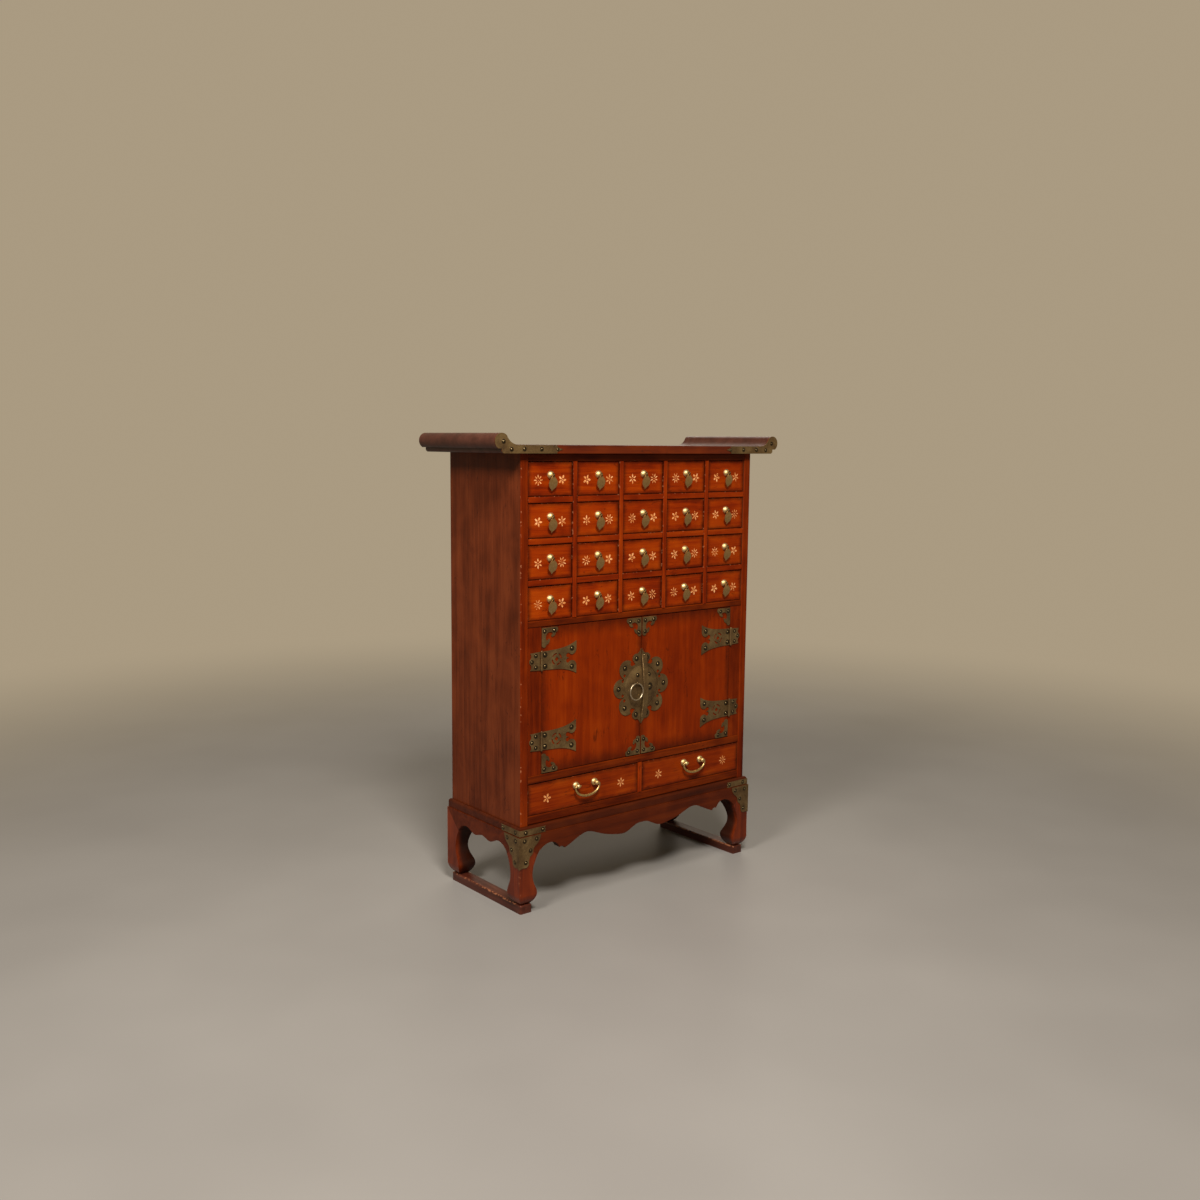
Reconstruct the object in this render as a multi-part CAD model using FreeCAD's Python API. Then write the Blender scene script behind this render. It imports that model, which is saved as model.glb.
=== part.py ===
import FreeCAD, Part
import math
import os

# Apothecary chest on a stand: twenty small drawers over a two-door cupboard over two lower drawers.
# Millimetres, +Z up, front towards -Y, origin under the middle of the whole chest.

# Carcass
BODY_W = 620.0
BODY_D = 250.0
SIDE_T = 18.0
BACK_T = 8.0
BOTTOM_T = 18.0
CUPBOARD_FLOOR_T = 17.0
BANK_FLOOR_T = 13.0
CARCASS_TOP_T = 15.0
RAIL_SETBACK = 1.0
BOARD_ROUND = 2.5

# Bank of small drawers
ROWS = 4
COLUMNS = 5
ROW_H = 67.5
SHELF_T = 13.0
DIVIDER_T = 11.0

# Drawer boxes
LOWER_H = 64.0
FRONT_T = 14.0
DRAWER_WALL = 8.0
DRAWER_BOTTOM_T = 5.0
DRAWER_BOTTOM_LIFT = 3.0
DRAWER_SIDE_GAP = 0.8
DRAWER_SEAT_GAP = 0.3
DRAWER_TOP_GAP = 1.2
DRAWER_BACK_GAP = 6.0
DRAWER_WALL_DROP = 5.0
SMALL_RECESS = 3.0
LOWER_RECESS = 1.5
FRONT_ROUND = 1.5

# Rosette and leaf pull of a small drawer
PULL_RISE = 7.2
ROSETTE_R = 8.2
ROSETTE_H = 7.6
LOOP_R = 3.0
LOOP_WIRE_R = 0.8
LOOP_STANDOFF = 2.9
LEAF_T = 1.6
LEAF_HALF_W = 10.2
LEAF_L = 31.0
LEAF_BEND_R = 65.0
LEAF_HOLE_R = 1.5
LEAF_WEB = 1.4
LEAF_PLAY = 0.3

# Edge of the leaf from its hole to its nib: share of half its width, and of the length below the hole.
LEAF_EDGE = ((0.6, 0.12), (0.93, 0.3), (1.0, 0.46), (0.9, 0.62), (0.62, 0.76), (0.28, 0.86), (0.12, 0.93))

# Bail handle of a lower drawer
BAIL_RISE = 20.5
POST_HALF_SPAN = 24.0
POST_DOME_R = 7.8
POST_DOME_BULGE = 0.85
POST_NECK_R = 3.2
POST_KNOB_R = 4.8
POST_STANDOFF = 10.0
BAIL_WIRE_R = 1.7
BAIL_BELLY_R = 2.9
BAIL_DROP = 22.5
BAIL_BEND_R = 3.0
BAIL_TIP = 2.0
BAIL_GAP = 0.5
BAIL_STATIONS = 9
PIN_CLEARANCE = 0.1

# Doors
DOOR_H = 295.0
DOOR_T = 16.0
DOOR_RECESS = 2.0
JAMB_W = 32.0
DOOR_HINGE_GAP = 0.8
DOOR_SEAM_GAP = 1.0
DOOR_SEAT_GAP = 1.0

# Sheet brass and hinges
PLATE_T = 1.4
KNUCKLE_R = 2.5
KNUCKLE_GAP = 0.3
HINGE_PIN_R = 1.2
HINGE_PIN_CLEARANCE = 0.06
PIN_CAP_R = 2.0
HINGE_MID_L = 12.0
HINGE_H = 37.0
HINGE_INSET = 67.0
HINGE_TAIL = 87.0
HINGE_TAIL_H = 66.0
FRAME_LEAF_L = 27.5
COIN_AT = 38.0
COIN_SLOT_IN = 9.5
COIN_SLOT_OUT = 12.5
COIN_SLOT_HALF_ANGLE = 31.0
COIN_DIAMOND = 5.0

# Upper edge of a hinge's door leaf: share of its length, and of half its height at the barrel.
HINGE_FLARE = ((0.35, 1.05), (0.67, 1.22))

# Upper half of the notch in its tail: distance back from the tips, and share of half the tail's height.
SWALLOW_TAIL = (
    ((0.0, 0.55),),
    ((3.0, 0.29), (11.0, 0.18)),
    ((15.0, 0.21), (17.9, 0.27)),
    ((25.8, 0.16), (19.5, 0.02)),
)

# Upper half of the frame leaf's end: distance past its length, and share of half its height.
FRAME_LEAF_END = (((-1.0, 0.92),), ((-3.5, 0.45), (0.0, 0.2)))
FRAME_LEAF_NOSE = 1.0

# One arm of a door's corner bracket: distance along the edge and in from it.
BRACKET_MARGIN = 0.8
BRACKET_ARM = (
    ((37.0, 0.8),),
    ((40.0, 5.0), (34.5, 11.5)),
    ((32.5, 17.0), (27.5, 19.5)),
    ((24.0, 19.0), (24.5, 15.8)),
    ((26.5, 14.5), (26.0, 11.8)),
)
BRACKET_ELBOW = 13.0

# Lock plate and ring pull
PLATE_DISC_R = 50.0
LOBE_AT = 55.0
LOBE_R = 20.0
LOBE_ANGLE = 44.0
END_LOBE_AT = 61.0
END_LOBE_R = 10.5
END_LOBE_ANGLE = 77.0
BITE_AT = 53.0
BITE_R = 3.4
BITE_ANGLES = (17.0, 30.0)
END_BITE_AT = 56.0
END_BITE_R = 5.5
END_BITE_ANGLE = 63.5
PLATE_POINT = 83.0
POINT_FOOT = (17.0, 66.5)
POINT_HOLLOW = (8.0, 71.0)
DOME_R = 47.0
DOME_H = 8.0
STRIP_W = 14.0
STRIP_LAP = 1.0
STRIP_HALF_L = 68.0
STRIP_PROUD = 2.0
STRIP_END_T = 2.6
STRIP_ROUND = 1.6
RING_R = 17.4
RING_WIRE_R = 1.6
RING_PLAY = 0.3
RING_SEAM_GAP = 0.8
RING_STANDOFF = 11.2
RING_EYE_RISE = 9.0
EYE_WIRE_R = 1.0
EYE_STEM_R = 1.5

# Scroll top
TOP_T = 16.0
TOP_FRONT_OVERHANG = 14.0
TOP_BACK_OVERHANG = 8.0
TOP_END_OVERHANG = 53.0
ROLL_R = 15.5
ROLL_RISE = 22.0
SCROLL_SWEEP = 38.0
SCROLL_LAND = 10.0
SCROLL_NOSE_R = 6.0
ROLL_NECK_ANGLE = -60.0
ROLL_CROWN_ANGLE = 135.0
SWEEP_MIDDLE = (0.42, 0.244)
END_PLATE_T = 1.2
END_PLATE_REACH = 80.0
END_PLATE_POINT = 9.0
END_PLATE_BITE_R = 5.1
END_PLATE_TONGUE = 2.6

# Stand
STAND_H = 179.0
BAND_H = 18.0
BAND_W = 26.0
BAND_PROUD = 6.0
BAND_SHOULDER_R = 5.0
LEG_PROUD = 8.0
LEG_TOP_W = 43.0
APRON_T = 18.0
BACK_APRON_H = 32.0
RUNNER_H = 18.0
RUNNER_W = 28.0
RUNNER_INSET = 7.0
RUNNER_ROUND = 3.0
FOOT_FLOOR_OUT = 12.0
FOOT_FLOOR_IN = 31.0
FOOT_ROUND_H = 28.0
FOOT_ROUND_MIDDLE = (0.29, 0.34)

# Inner edge of a leg, from foot to apron: width from the outer face and share of the leg's height.
LEG_EDGE = ((39.0, 0.07), (42.5, 0.17), (36.5, 0.28), (31.3, 0.42), (34.0, 0.55))

# Lower edge of the front apron: distance in from the leg, or from the middle, and rise above the leg's mitre.
FRONT_END_ARCH = ((13.0, 13.5), (35.0, 20.0), (56.0, 4.8))
FRONT_CUSP = ((62.0, 6.3), (68.5, 1.2))
FRONT_END_RISE = (90.0, 10.3)
FRONT_MIDDLE = ((149.0, 23.0), (115.0, 13.1), (69.0, 1.7), (47.0, 0.6), (17.0, 13.2), (0.0, 15.0))

# Lower edge of a side apron: distance in from the leg, and from the middle.
SIDE_END_ARCH = ((14.0, 14.0), (33.0, 18.0))
SIDE_MIDDLE = ((28.0, 8.5), (12.0, 11.5), (0.0, 14.5))

# Brass on the stand's front corners: length from the corner and drop below the leg's top.
STRAP_L = 64.0
STRAP_H = 12.0
STRAP_RISE = 1.0
STRAP_BITE = 2.4
V_PLATE_W = 53.0
V_PLATE_DROP = 64.0
V_PLATE_STEPS = (
    ((0.95, 0.14), (0.80, 0.29)),
    ((0.70, 0.36), (0.64, 0.45)),
    ((0.62, 0.55), (0.50, 0.63)),
    ((0.46, 0.72), (0.44, 0.82)),
    ((0.40, 0.93), (0.19, 0.96)),
)

# Levels, from the floor up
LOWER_Z = STAND_H + BOTTOM_T
CUPBOARD_Z = LOWER_Z + LOWER_H + CUPBOARD_FLOOR_T
BANK_Z = CUPBOARD_Z + DOOR_H + BANK_FLOOR_T
BANK_TOP_Z = BANK_Z + ROWS * ROW_H + (ROWS - 1) * SHELF_T
BODY_TOP_Z = BANK_TOP_Z + CARCASS_TOP_T
LEG_TOP_Z = STAND_H - BAND_H
MITRE_Z = LEG_TOP_Z - LEG_TOP_W

# Depths: the chest is centred between its foremost and rearmost faces.
BACK_REACH = max(TOP_BACK_OVERHANG, LEG_PROUD)
FRONT_REACH = TOP_FRONT_OVERHANG + END_PLATE_T
FRONT_Y = FRONT_REACH - (FRONT_REACH + BODY_D + BACK_REACH) / 2
BACK_Y = FRONT_Y + BODY_D
MIDDLE_Y = (FRONT_Y + BACK_Y) / 2
INNER_BACK_Y = BACK_Y - BACK_T
DOOR_Y = FRONT_Y + DOOR_RECESS

# Widths
HALF_W = BODY_W / 2
INNER_HALF_W = HALF_W - SIDE_T
DOOR_HALF_W = INNER_HALF_W - JAMB_W
COLUMN_W = (2 * INNER_HALF_W - (COLUMNS - 1) * DIVIDER_T) / COLUMNS
STAND_HALF_W = HALF_W + LEG_PROUD
STAND_FRONT_Y = FRONT_Y - LEG_PROUD
STAND_BACK_Y = BACK_Y + LEG_PROUD

V = FreeCAD.Vector
ORIGIN = V(0, 0, 0)
X_AXIS = V(1, 0, 0)
Y_AXIS = V(0, 1, 0)
Z_AXIS = V(0, 0, 1)

# Share of a quarter-round's radius between its corner and its middle, and a modelling tolerance.
CORNER_SHARE = 1 - math.sqrt(0.5)
NEAR = 0.01


def box(x0, x1, y0, y1, z0, z1):
    return Part.makeBox(x1 - x0, y1 - y0, z1 - z0, V(x0, y0, z0))


def fuse(shapes):
    """One solid from touching or overlapping shapes."""
    return shapes[0].multiFuse(shapes[1:]).removeSplitter()


def mirrored_x(shapes):
    return [shape.mirror(ORIGIN, X_AXIS) for shape in shapes]


def mirrored_y(shapes):
    return [shape.mirror(V(0, MIDDLE_Y, 0), Y_AXIS) for shape in shapes]


def outline(place, start, steps):
    """Closed face: a step of one point is a line, of two an arc, of more a smooth curve."""
    edges = []
    last = start
    for step in steps:
        points = [place(*p) for p in (last,) + tuple(step)]
        if len(points) == 2:
            edges.append(Part.LineSegment(*points).toShape())
        elif len(points) == 3:
            edges.append(Part.Arc(*points).toShape())
        else:
            curve = Part.BSplineCurve()
            curve.interpolate(points)
            edges.append(curve.toShape())
        last = step[-1]
    return Part.Face(Part.Wire(edges))


def placed(steps, at):
    """Steps of an outline moved to their place by at."""
    return [[at(*point) for point in step] for step in steps]


def mirror_steps(start, half, flip, bridge=()):
    """Half an outline from start, a step over its line of symmetry, and the half run back mirrored."""
    ends = [start] + [step[-1] for step in half]
    steps = [list(step) for step in half]
    if flip(*ends[-1]) != ends[-1]:
        steps.append(list(bridge) + [flip(*ends[-1])])
    for step, begin in zip(reversed(half), reversed(ends[:-1])):
        steps.append([flip(*point) for point in reversed(step[:-1])] + [flip(*begin)])
    return steps


def front_sheet(start, steps, y_back, thickness):
    """Outline drawn in X and Z, raised towards the front from y_back."""
    face = outline(lambda x, z: V(x, y_back, z), start, steps)
    return face.extrude(V(0, -thickness, 0))


def runs_along(edge, axis):
    return abs(edge.tangentAt(edge.FirstParameter).dot(axis)) > 1 - NEAR


def eased(board, radius, axis):
    """Board with the long edges of its front rounded."""
    front = board.BoundBox.YMin
    edges = [edge for edge in board.Edges if edge.BoundBox.YMax < front + NEAR and runs_along(edge, axis)]
    return board.makeFillet(radius, edges)


def eased_all_round(board, radius):
    front = board.BoundBox.YMin
    edges = [edge for edge in board.Edges if edge.BoundBox.YMax < front + NEAR]
    return board.makeFillet(radius, edges)


# Carcass

def side_panels():
    panel = box(INNER_HALF_W, HALF_W, FRONT_Y, BACK_Y, STAND_H, BODY_TOP_Z)
    right = eased(panel, BOARD_ROUND, Z_AXIS)
    return [right] + mirrored_x([right])


def back_panel():
    return [box(-INNER_HALF_W, INNER_HALF_W, INNER_BACK_Y, BACK_Y, STAND_H, BODY_TOP_Z)]


def carcass_board(bottom_z, thickness):
    front = FRONT_Y + RAIL_SETBACK
    board = box(-INNER_HALF_W, INNER_HALF_W, front, INNER_BACK_Y, bottom_z, bottom_z + thickness)
    return eased(board, BOARD_ROUND, X_AXIS)


def carcass_boards():
    return [
        carcass_board(STAND_H, BOTTOM_T),
        carcass_board(CUPBOARD_Z - CUPBOARD_FLOOR_T, CUPBOARD_FLOOR_T),
        carcass_board(BANK_Z - BANK_FLOOR_T, BANK_FLOOR_T),
        carcass_board(BANK_TOP_Z, CARCASS_TOP_T),
    ]


def column_x(column):
    """Left side of a drawer opening, counted from the left."""
    return -INNER_HALF_W + column * (COLUMN_W + DIVIDER_T)


def row_z(row):
    """Bottom of a drawer opening, counted from the top."""
    return BANK_Z + (ROWS - 1 - row) * (ROW_H + SHELF_T)


def upright(x, bottom_z, top_z):
    board = box(x, x + DIVIDER_T, FRONT_Y, INNER_BACK_Y, bottom_z, top_z)
    return eased(board, BOARD_ROUND, Z_AXIS)


def drawer_dividers():
    """Uprights slotted from behind and shelves slotted from the front, lapped into one grid."""
    lap_y = (FRONT_Y + INNER_BACK_Y) / 2
    upright_places = [column_x(column) - DIVIDER_T for column in range(1, COLUMNS)]
    shelf_places = [row_z(row) - SHELF_T for row in range(ROWS - 1)]
    boards = []
    for x in upright_places:
        board = upright(x, BANK_Z, BANK_TOP_Z)
        for z in shelf_places:
            board = board.cut(box(x, x + DIVIDER_T, lap_y, INNER_BACK_Y, z, z + SHELF_T))
        boards.append(board)
    for z in shelf_places:
        board = carcass_board(z, SHELF_T)
        for x in upright_places:
            board = board.cut(box(x, x + DIVIDER_T, FRONT_Y, lap_y, z, z + SHELF_T))
        boards.append(board)
    boards.append(upright(-DIVIDER_T / 2, LOWER_Z, LOWER_Z + LOWER_H))
    return boards


def door_jambs():
    jamb = box(DOOR_HALF_W, INNER_HALF_W, DOOR_Y, DOOR_Y + DOOR_T, CUPBOARD_Z, CUPBOARD_Z + DOOR_H)
    return [jamb] + mirrored_x([jamb])


# Drawers

def drawer_boards(x0, x1, z0, z1, recess):
    """Front, two sides, back and bottom of a drawer in the opening between x0, x1 and z0, z1."""
    left = x0 + DRAWER_SIDE_GAP
    right = x1 - DRAWER_SIDE_GAP
    low = z0 + DRAWER_SEAT_GAP
    high = z1 - DRAWER_TOP_GAP
    wall_top = high - DRAWER_WALL_DROP
    face_y = FRONT_Y + recess
    wall_y = face_y + FRONT_T
    end_y = INNER_BACK_Y - DRAWER_BACK_GAP
    floor_z = low + DRAWER_BOTTOM_LIFT
    floor_top = floor_z + DRAWER_BOTTOM_T
    inner_left = left + DRAWER_WALL
    inner_right = right - DRAWER_WALL
    return [
        eased_all_round(box(left, right, face_y, wall_y, low, high), FRONT_ROUND),
        box(left, inner_left, wall_y, end_y, low, wall_top),
        box(inner_right, right, wall_y, end_y, low, wall_top),
        box(inner_left, inner_right, end_y - DRAWER_WALL, end_y, floor_top, wall_top),
        box(inner_left, inner_right, wall_y, end_y, floor_z, floor_top),
    ]


def rosette(x, face_y, z):
    """Domed boss with a wire eye standing out of its middle."""
    bulge = 1 - CORNER_SHARE
    profile = outline(
        lambda r, h: V(x + r, face_y - h, z),
        (0, 0),
        [[(ROSETTE_R, 0)], [(ROSETTE_R * bulge, ROSETTE_H * bulge), (0, ROSETTE_H)], [(0, 0)]],
    )
    dome = profile.revolve(V(x, face_y, z), Y_AXIS, 360)
    eye = Part.makeTorus(LOOP_R, LOOP_WIRE_R, V(x, face_y - ROSETTE_H - LOOP_STANDOFF, z), X_AXIS)
    return dome.fuse(eye)


def pull_place(row, column):
    x = column_x(column) + COLUMN_W / 2
    z = row_z(row) + ROW_H / 2 + PULL_RISE
    return x, z


def small_drawer(row, column):
    x0 = column_x(column)
    z0 = row_z(row)
    x, z = pull_place(row, column)
    boards = drawer_boards(x0, x0 + COLUMN_W, z0, z0 + ROW_H, SMALL_RECESS)
    return boards + [rosette(x, FRONT_Y + SMALL_RECESS, z)]


def drop_pull(row, column):
    """Leaf that hangs in the rosette's eye by a hole near its top, and bows back to its nib."""
    x, z = pull_place(row, column)
    hole_z = z - LOOP_R + LOOP_WIRE_R + LEAF_PLAY - LEAF_HOLE_R
    tab = LEAF_HOLE_R + LEAF_WEB
    blade = LEAF_L - tab
    front_y = FRONT_Y + SMALL_RECESS - ROSETTE_H - LOOP_STANDOFF - LEAF_T / 2
    edge = [(x + LEAF_HALF_W * across, hole_z - blade * down) for across, down in LEAF_EDGE]
    half = [edge + [(x, hole_z - blade)]]
    steps = mirror_steps((x + tab, hole_z), half, lambda px, pz: (2 * x - px, pz))
    steps.append([(x, hole_z + tab), (x + tab, hole_z)])
    bow_depth = ROSETTE_H + LOOP_STANDOFF
    blank = front_sheet((x + tab, hole_z), steps, front_y + bow_depth, bow_depth)
    bow_from = V(x - LEAF_HALF_W, front_y + LEAF_BEND_R, hole_z)
    bow = Part.makeCylinder(LEAF_BEND_R, 2 * LEAF_HALF_W, bow_from, X_AXIS)
    bow = bow.cut(Part.makeCylinder(LEAF_BEND_R - LEAF_T, 2 * LEAF_HALF_W, bow_from, X_AXIS))
    hole = Part.makeCylinder(LEAF_HOLE_R, 2 * LEAF_T, V(x, front_y + 2 * LEAF_T, hole_z), -Y_AXIS)
    return [blank.common(bow).cut(hole)]


# Lower drawers and their bail handles

def lower_opening(side):
    """Both X limits of a lower drawer's opening; side is -1 left, 1 right."""
    inner = side * DIVIDER_T / 2
    outer = side * INNER_HALF_W
    return min(inner, outer), max(inner, outer)


def bail_axis(side):
    x0, x1 = lower_opening(side)
    return V((x0 + x1) / 2, FRONT_Y + LOWER_RECESS - POST_STANDOFF, LOWER_Z + LOWER_H - BAIL_RISE)


def ball_post(centre, face_y):
    """Turned boss whose end is a ball, bored through for the bail."""
    neck_reach = POST_STANDOFF - math.sqrt(POST_KNOB_R ** 2 - POST_NECK_R ** 2)
    bulge = (POST_DOME_R * POST_DOME_BULGE, neck_reach * (1 - CORNER_SHARE))
    profile = outline(
        lambda r, h: V(centre.x + r, face_y - h, centre.z),
        (0, 0),
        [
            [(POST_DOME_R, 0)],
            [bulge, (POST_NECK_R, neck_reach)],
            [(POST_KNOB_R, POST_STANDOFF), (0, POST_STANDOFF + POST_KNOB_R)],
            [(0, 0)],
        ],
    )
    post = profile.revolve(V(centre.x, face_y, centre.z), Y_AXIS, 360)
    reach = POST_KNOB_R + BAIL_TIP
    bore_from = centre - V(reach, 0, 0)
    bore = Part.makeCylinder(BAIL_WIRE_R + PIN_CLEARANCE, 2 * reach, bore_from, X_AXIS)
    return post.cut(bore)


def lower_drawer(side):
    x0, x1 = lower_opening(side)
    axis = bail_axis(side)
    boards = drawer_boards(x0, x1, LOWER_Z, LOWER_Z + LOWER_H, LOWER_RECESS)
    for hand in (-1, 1):
        boards.append(ball_post(axis + V(hand * POST_HALF_SPAN, 0, 0), FRONT_Y + LOWER_RECESS))
    return boards


def bail_handle(side):
    """Wire bail that swells to its middle, with ends turned in through the ball posts."""
    axis = bail_axis(side)
    arm = POST_HALF_SPAN + POST_KNOB_R + BAIL_GAP + BAIL_WIRE_R
    tip = POST_HALF_SPAN - POST_KNOB_R - BAIL_TIP
    pieces = []
    for hand in (-1, 1):
        pin_end = axis + V(hand * (arm - BAIL_BEND_R), 0, 0)
        pin = Part.makeCylinder(BAIL_WIRE_R, arm - BAIL_BEND_R - tip, pin_end, V(-hand, 0, 0))
        section = Part.Face(Part.Wire(Part.makeCircle(BAIL_WIRE_R, pin_end, X_AXIS)))
        bend = section.revolve(pin_end - V(0, 0, BAIL_BEND_R), V(0, hand, 0), 90)
        pieces += [pin, bend]
    depth = BAIL_DROP - BAIL_BEND_R
    sections = []
    for station in range(BAIL_STATIONS):
        angle = math.pi * station / (BAIL_STATIONS - 1)
        swell = math.sin(angle)
        radius = BAIL_WIRE_R + (BAIL_BELLY_R - BAIL_WIRE_R) * swell
        centre = axis + V(-arm * math.cos(angle), 0, -BAIL_BEND_R - depth * swell)
        along = V(arm * swell, 0, -depth * math.cos(angle))
        sections.append(Part.Wire(Part.makeCircle(radius, centre, along)))
    belly = Part.makeLoft(sections, True)
    return [fuse(pieces + [belly])]


# Doors and their fittings, drawn for the left door

def hinge_levels():
    low = CUPBOARD_Z + HINGE_INSET
    high = CUPBOARD_Z + DOOR_H - HINGE_INSET
    return low, high


def knuckle(z0, z1):
    """Hinge barrel on the left door's axis between two heights, bored for the pin."""
    base = V(-DOOR_HALF_W, DOOR_Y - KNUCKLE_R - KNUCKLE_GAP, z0)
    barrel = Part.makeCylinder(KNUCKLE_R, z1 - z0, base)
    return barrel.cut(Part.makeCylinder(HINGE_PIN_R + HINGE_PIN_CLEARANCE, z1 - z0, base))


def hinge_tab(x0, x1, z0, z1):
    """Neck of sheet that joins a leaf to its barrel, kept off the pin's bore."""
    return box(-DOOR_HALF_W + x0, -DOOR_HALF_W + x1, DOOR_Y - PLATE_T, DOOR_Y, z0, z1)


def coin_piercing(centre):
    """Cutters for a diamond inside four arc slots."""
    depth = 2 * PLATE_T
    base = centre + V(0, PLATE_T / 2, 0)
    corners = []
    for turn in range(5):
        angle = math.radians(90 * turn)
        corners.append(base + V(COIN_DIAMOND * math.cos(angle), 0, COIN_DIAMOND * math.sin(angle)))
    diamond = Part.Face(Part.makePolygon(corners)).extrude(V(0, -depth, 0))
    cutters = [diamond]
    for turn in range(4):
        span = 2 * COIN_SLOT_HALF_ANGLE
        slot = Part.makeCylinder(COIN_SLOT_OUT, depth, base, -Y_AXIS, span)
        slot = slot.cut(Part.makeCylinder(COIN_SLOT_IN, depth, base, -Y_AXIS))
        slot.rotate(base, Y_AXIS, 90 * turn)
        cutters.append(slot)
    return cutters


def hinge_door_leaf(z):
    """Leaf that flares to a swallow tail, with a pierced coin and the middle barrel."""
    root = KNUCKLE_R + KNUCKLE_GAP
    half_h = HINGE_H / 2
    tip = HINGE_TAIL_H / 2
    start = (root, half_h)
    flare = [(HINGE_TAIL * along, half_h * up) for along, up in HINGE_FLARE]
    half = [flare + [(HINGE_TAIL, tip)]]
    for step in SWALLOW_TAIL:
        half.append([(HINGE_TAIL - back, tip * up) for back, up in step])
    steps = mirror_steps(start, half, lambda s, t: (s, -t))
    steps.append([start])

    def at(s, t):
        return -DOOR_HALF_W + s, z + t

    leaf = front_sheet(at(*start), placed(steps, at), DOOR_Y, PLATE_T)
    leaf = leaf.cut(coin_piercing(V(-DOOR_HALF_W + COIN_AT, DOOR_Y, z)))
    reach = HINGE_MID_L / 2
    tab = hinge_tab(0, root, z - reach, z + reach)
    return fuse([leaf, tab, knuckle(z - reach, z + reach)])


def hinge_frame_leaf(z):
    """Small scalloped leaf on the jamb, with the two outer barrels."""
    root = KNUCKLE_R + KNUCKLE_GAP
    half_h = HINGE_H / 2
    start = (root, half_h)
    half = [[(FRAME_LEAF_L + past, half_h * up) for past, up in step] for step in FRAME_LEAF_END]
    nose = [(FRAME_LEAF_L + FRAME_LEAF_NOSE, 0)]
    steps = mirror_steps(start, half, lambda s, t: (s, -t), nose)
    steps.append([start])

    def at(s, t):
        return -DOOR_HALF_W - s, z + t

    pieces = [front_sheet(at(*start), placed(steps, at), DOOR_Y, PLATE_T)]
    inner = HINGE_MID_L / 2 + KNUCKLE_GAP
    for z0, z1 in ((z - half_h, z - inner), (z + inner, z + half_h)):
        pieces.append(hinge_tab(-root, 0, z0, z1))
        pieces.append(knuckle(z0, z1))
    return fuse(pieces)


def hinge_pin(z):
    length = HINGE_H + 2 * KNUCKLE_GAP
    base = V(-DOOR_HALF_W, DOOR_Y - KNUCKLE_R - KNUCKLE_GAP, z - length / 2)
    pin = Part.makeCylinder(HINGE_PIN_R, length, base)
    caps = [Part.makeSphere(PIN_CAP_R, base), Part.makeSphere(PIN_CAP_R, base + V(0, 0, length))]
    barrel = Part.makeCylinder(KNUCKLE_R, HINGE_H, V(base.x, base.y, z - HINGE_H / 2))
    caps = [cap.cut(barrel) for cap in caps]
    return fuse([pin] + caps)


def hinge_frame_leaves():
    left = []
    for z in hinge_levels():
        left += [hinge_frame_leaf(z), hinge_pin(z)]
    return left + mirrored_x(left)


def door_panel():
    left = -DOOR_HALF_W + DOOR_HINGE_GAP
    low = CUPBOARD_Z + DOOR_SEAT_GAP
    high = CUPBOARD_Z + DOOR_H - DOOR_SEAT_GAP
    panel = box(left, -DOOR_SEAM_GAP, DOOR_Y, DOOR_Y + DOOR_T, low, high)
    return eased_all_round(panel, DOOR_SEAT_GAP)


def corner_bracket(x, z, hand, up):
    """Bracket with two curled arms; hand and up point from the corner into the door."""
    corner = (BRACKET_MARGIN, BRACKET_MARGIN)
    elbow = [(BRACKET_ELBOW, BRACKET_ELBOW)]
    steps = mirror_steps(corner, BRACKET_ARM, lambda a, b: (b, a), elbow)

    def at(a, b):
        return x + hand * a, z + up * b

    return front_sheet(at(*corner), placed(steps, at), DOOR_Y, PLATE_T)


def corner_brackets():
    left = -DOOR_HALF_W + DOOR_HINGE_GAP
    low = CUPBOARD_Z + DOOR_SEAT_GAP
    high = CUPBOARD_Z + DOOR_H - DOOR_SEAT_GAP
    brackets = []
    for x, hand in ((left, 1), (-DOOR_SEAM_GAP, -1)):
        brackets += [corner_bracket(x, low, hand, 1), corner_bracket(x, high, hand, -1)]
    return brackets


def lock_centre():
    return V(0, DOOR_Y, CUPBOARD_Z + DOOR_H / 2)


def dome_radius():
    return (DOME_R ** 2 + DOME_H ** 2) / (2 * DOME_H)


def dome_sphere(grown):
    """Ball that the lock plate's dome is part of, grown by a thickness."""
    centre = lock_centre() + V(0, dome_radius() - DOME_H, 0)
    return Part.makeSphere(dome_radius() + grown, centre)


def dome_shell():
    """Sheet dome over the middle of the lock plate."""
    slab = Part.makeCylinder(DOME_R, DOME_H, lock_centre(), -Y_AXIS)
    return slab.common(dome_sphere(0)).cut(dome_sphere(-PLATE_T))


def plate_disc(distance, angle, radius):
    """Disc of the plate's thickness, at an angle above the left of the lock's centre."""
    turn = math.radians(angle)
    at = lock_centre() + V(-distance * math.cos(turn), 0, distance * math.sin(turn))
    return Part.makeCylinder(radius, PLATE_T, at, -Y_AXIS)


def plate_points():
    """Upright strip of the plate that ends above and below in a hollow-sided point."""
    foot_x, foot_z = POINT_FOOT
    hollow_x, hollow_z = POINT_HOLLOW
    start = (-foot_x, 0)
    half = [[(-foot_x, foot_z)], [(-hollow_x, hollow_z), (0, PLATE_POINT)]]
    half += [[(hollow_x, hollow_z), (foot_x, foot_z)], [(foot_x, 0)]]
    steps = mirror_steps(start, half, lambda x, z: (x, -z))
    centre = lock_centre()
    upright = placed(steps, lambda x, z: (centre.x + x, centre.z + z))
    return front_sheet((centre.x - foot_x, centre.z), upright, centre.y, PLATE_T)


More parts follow.
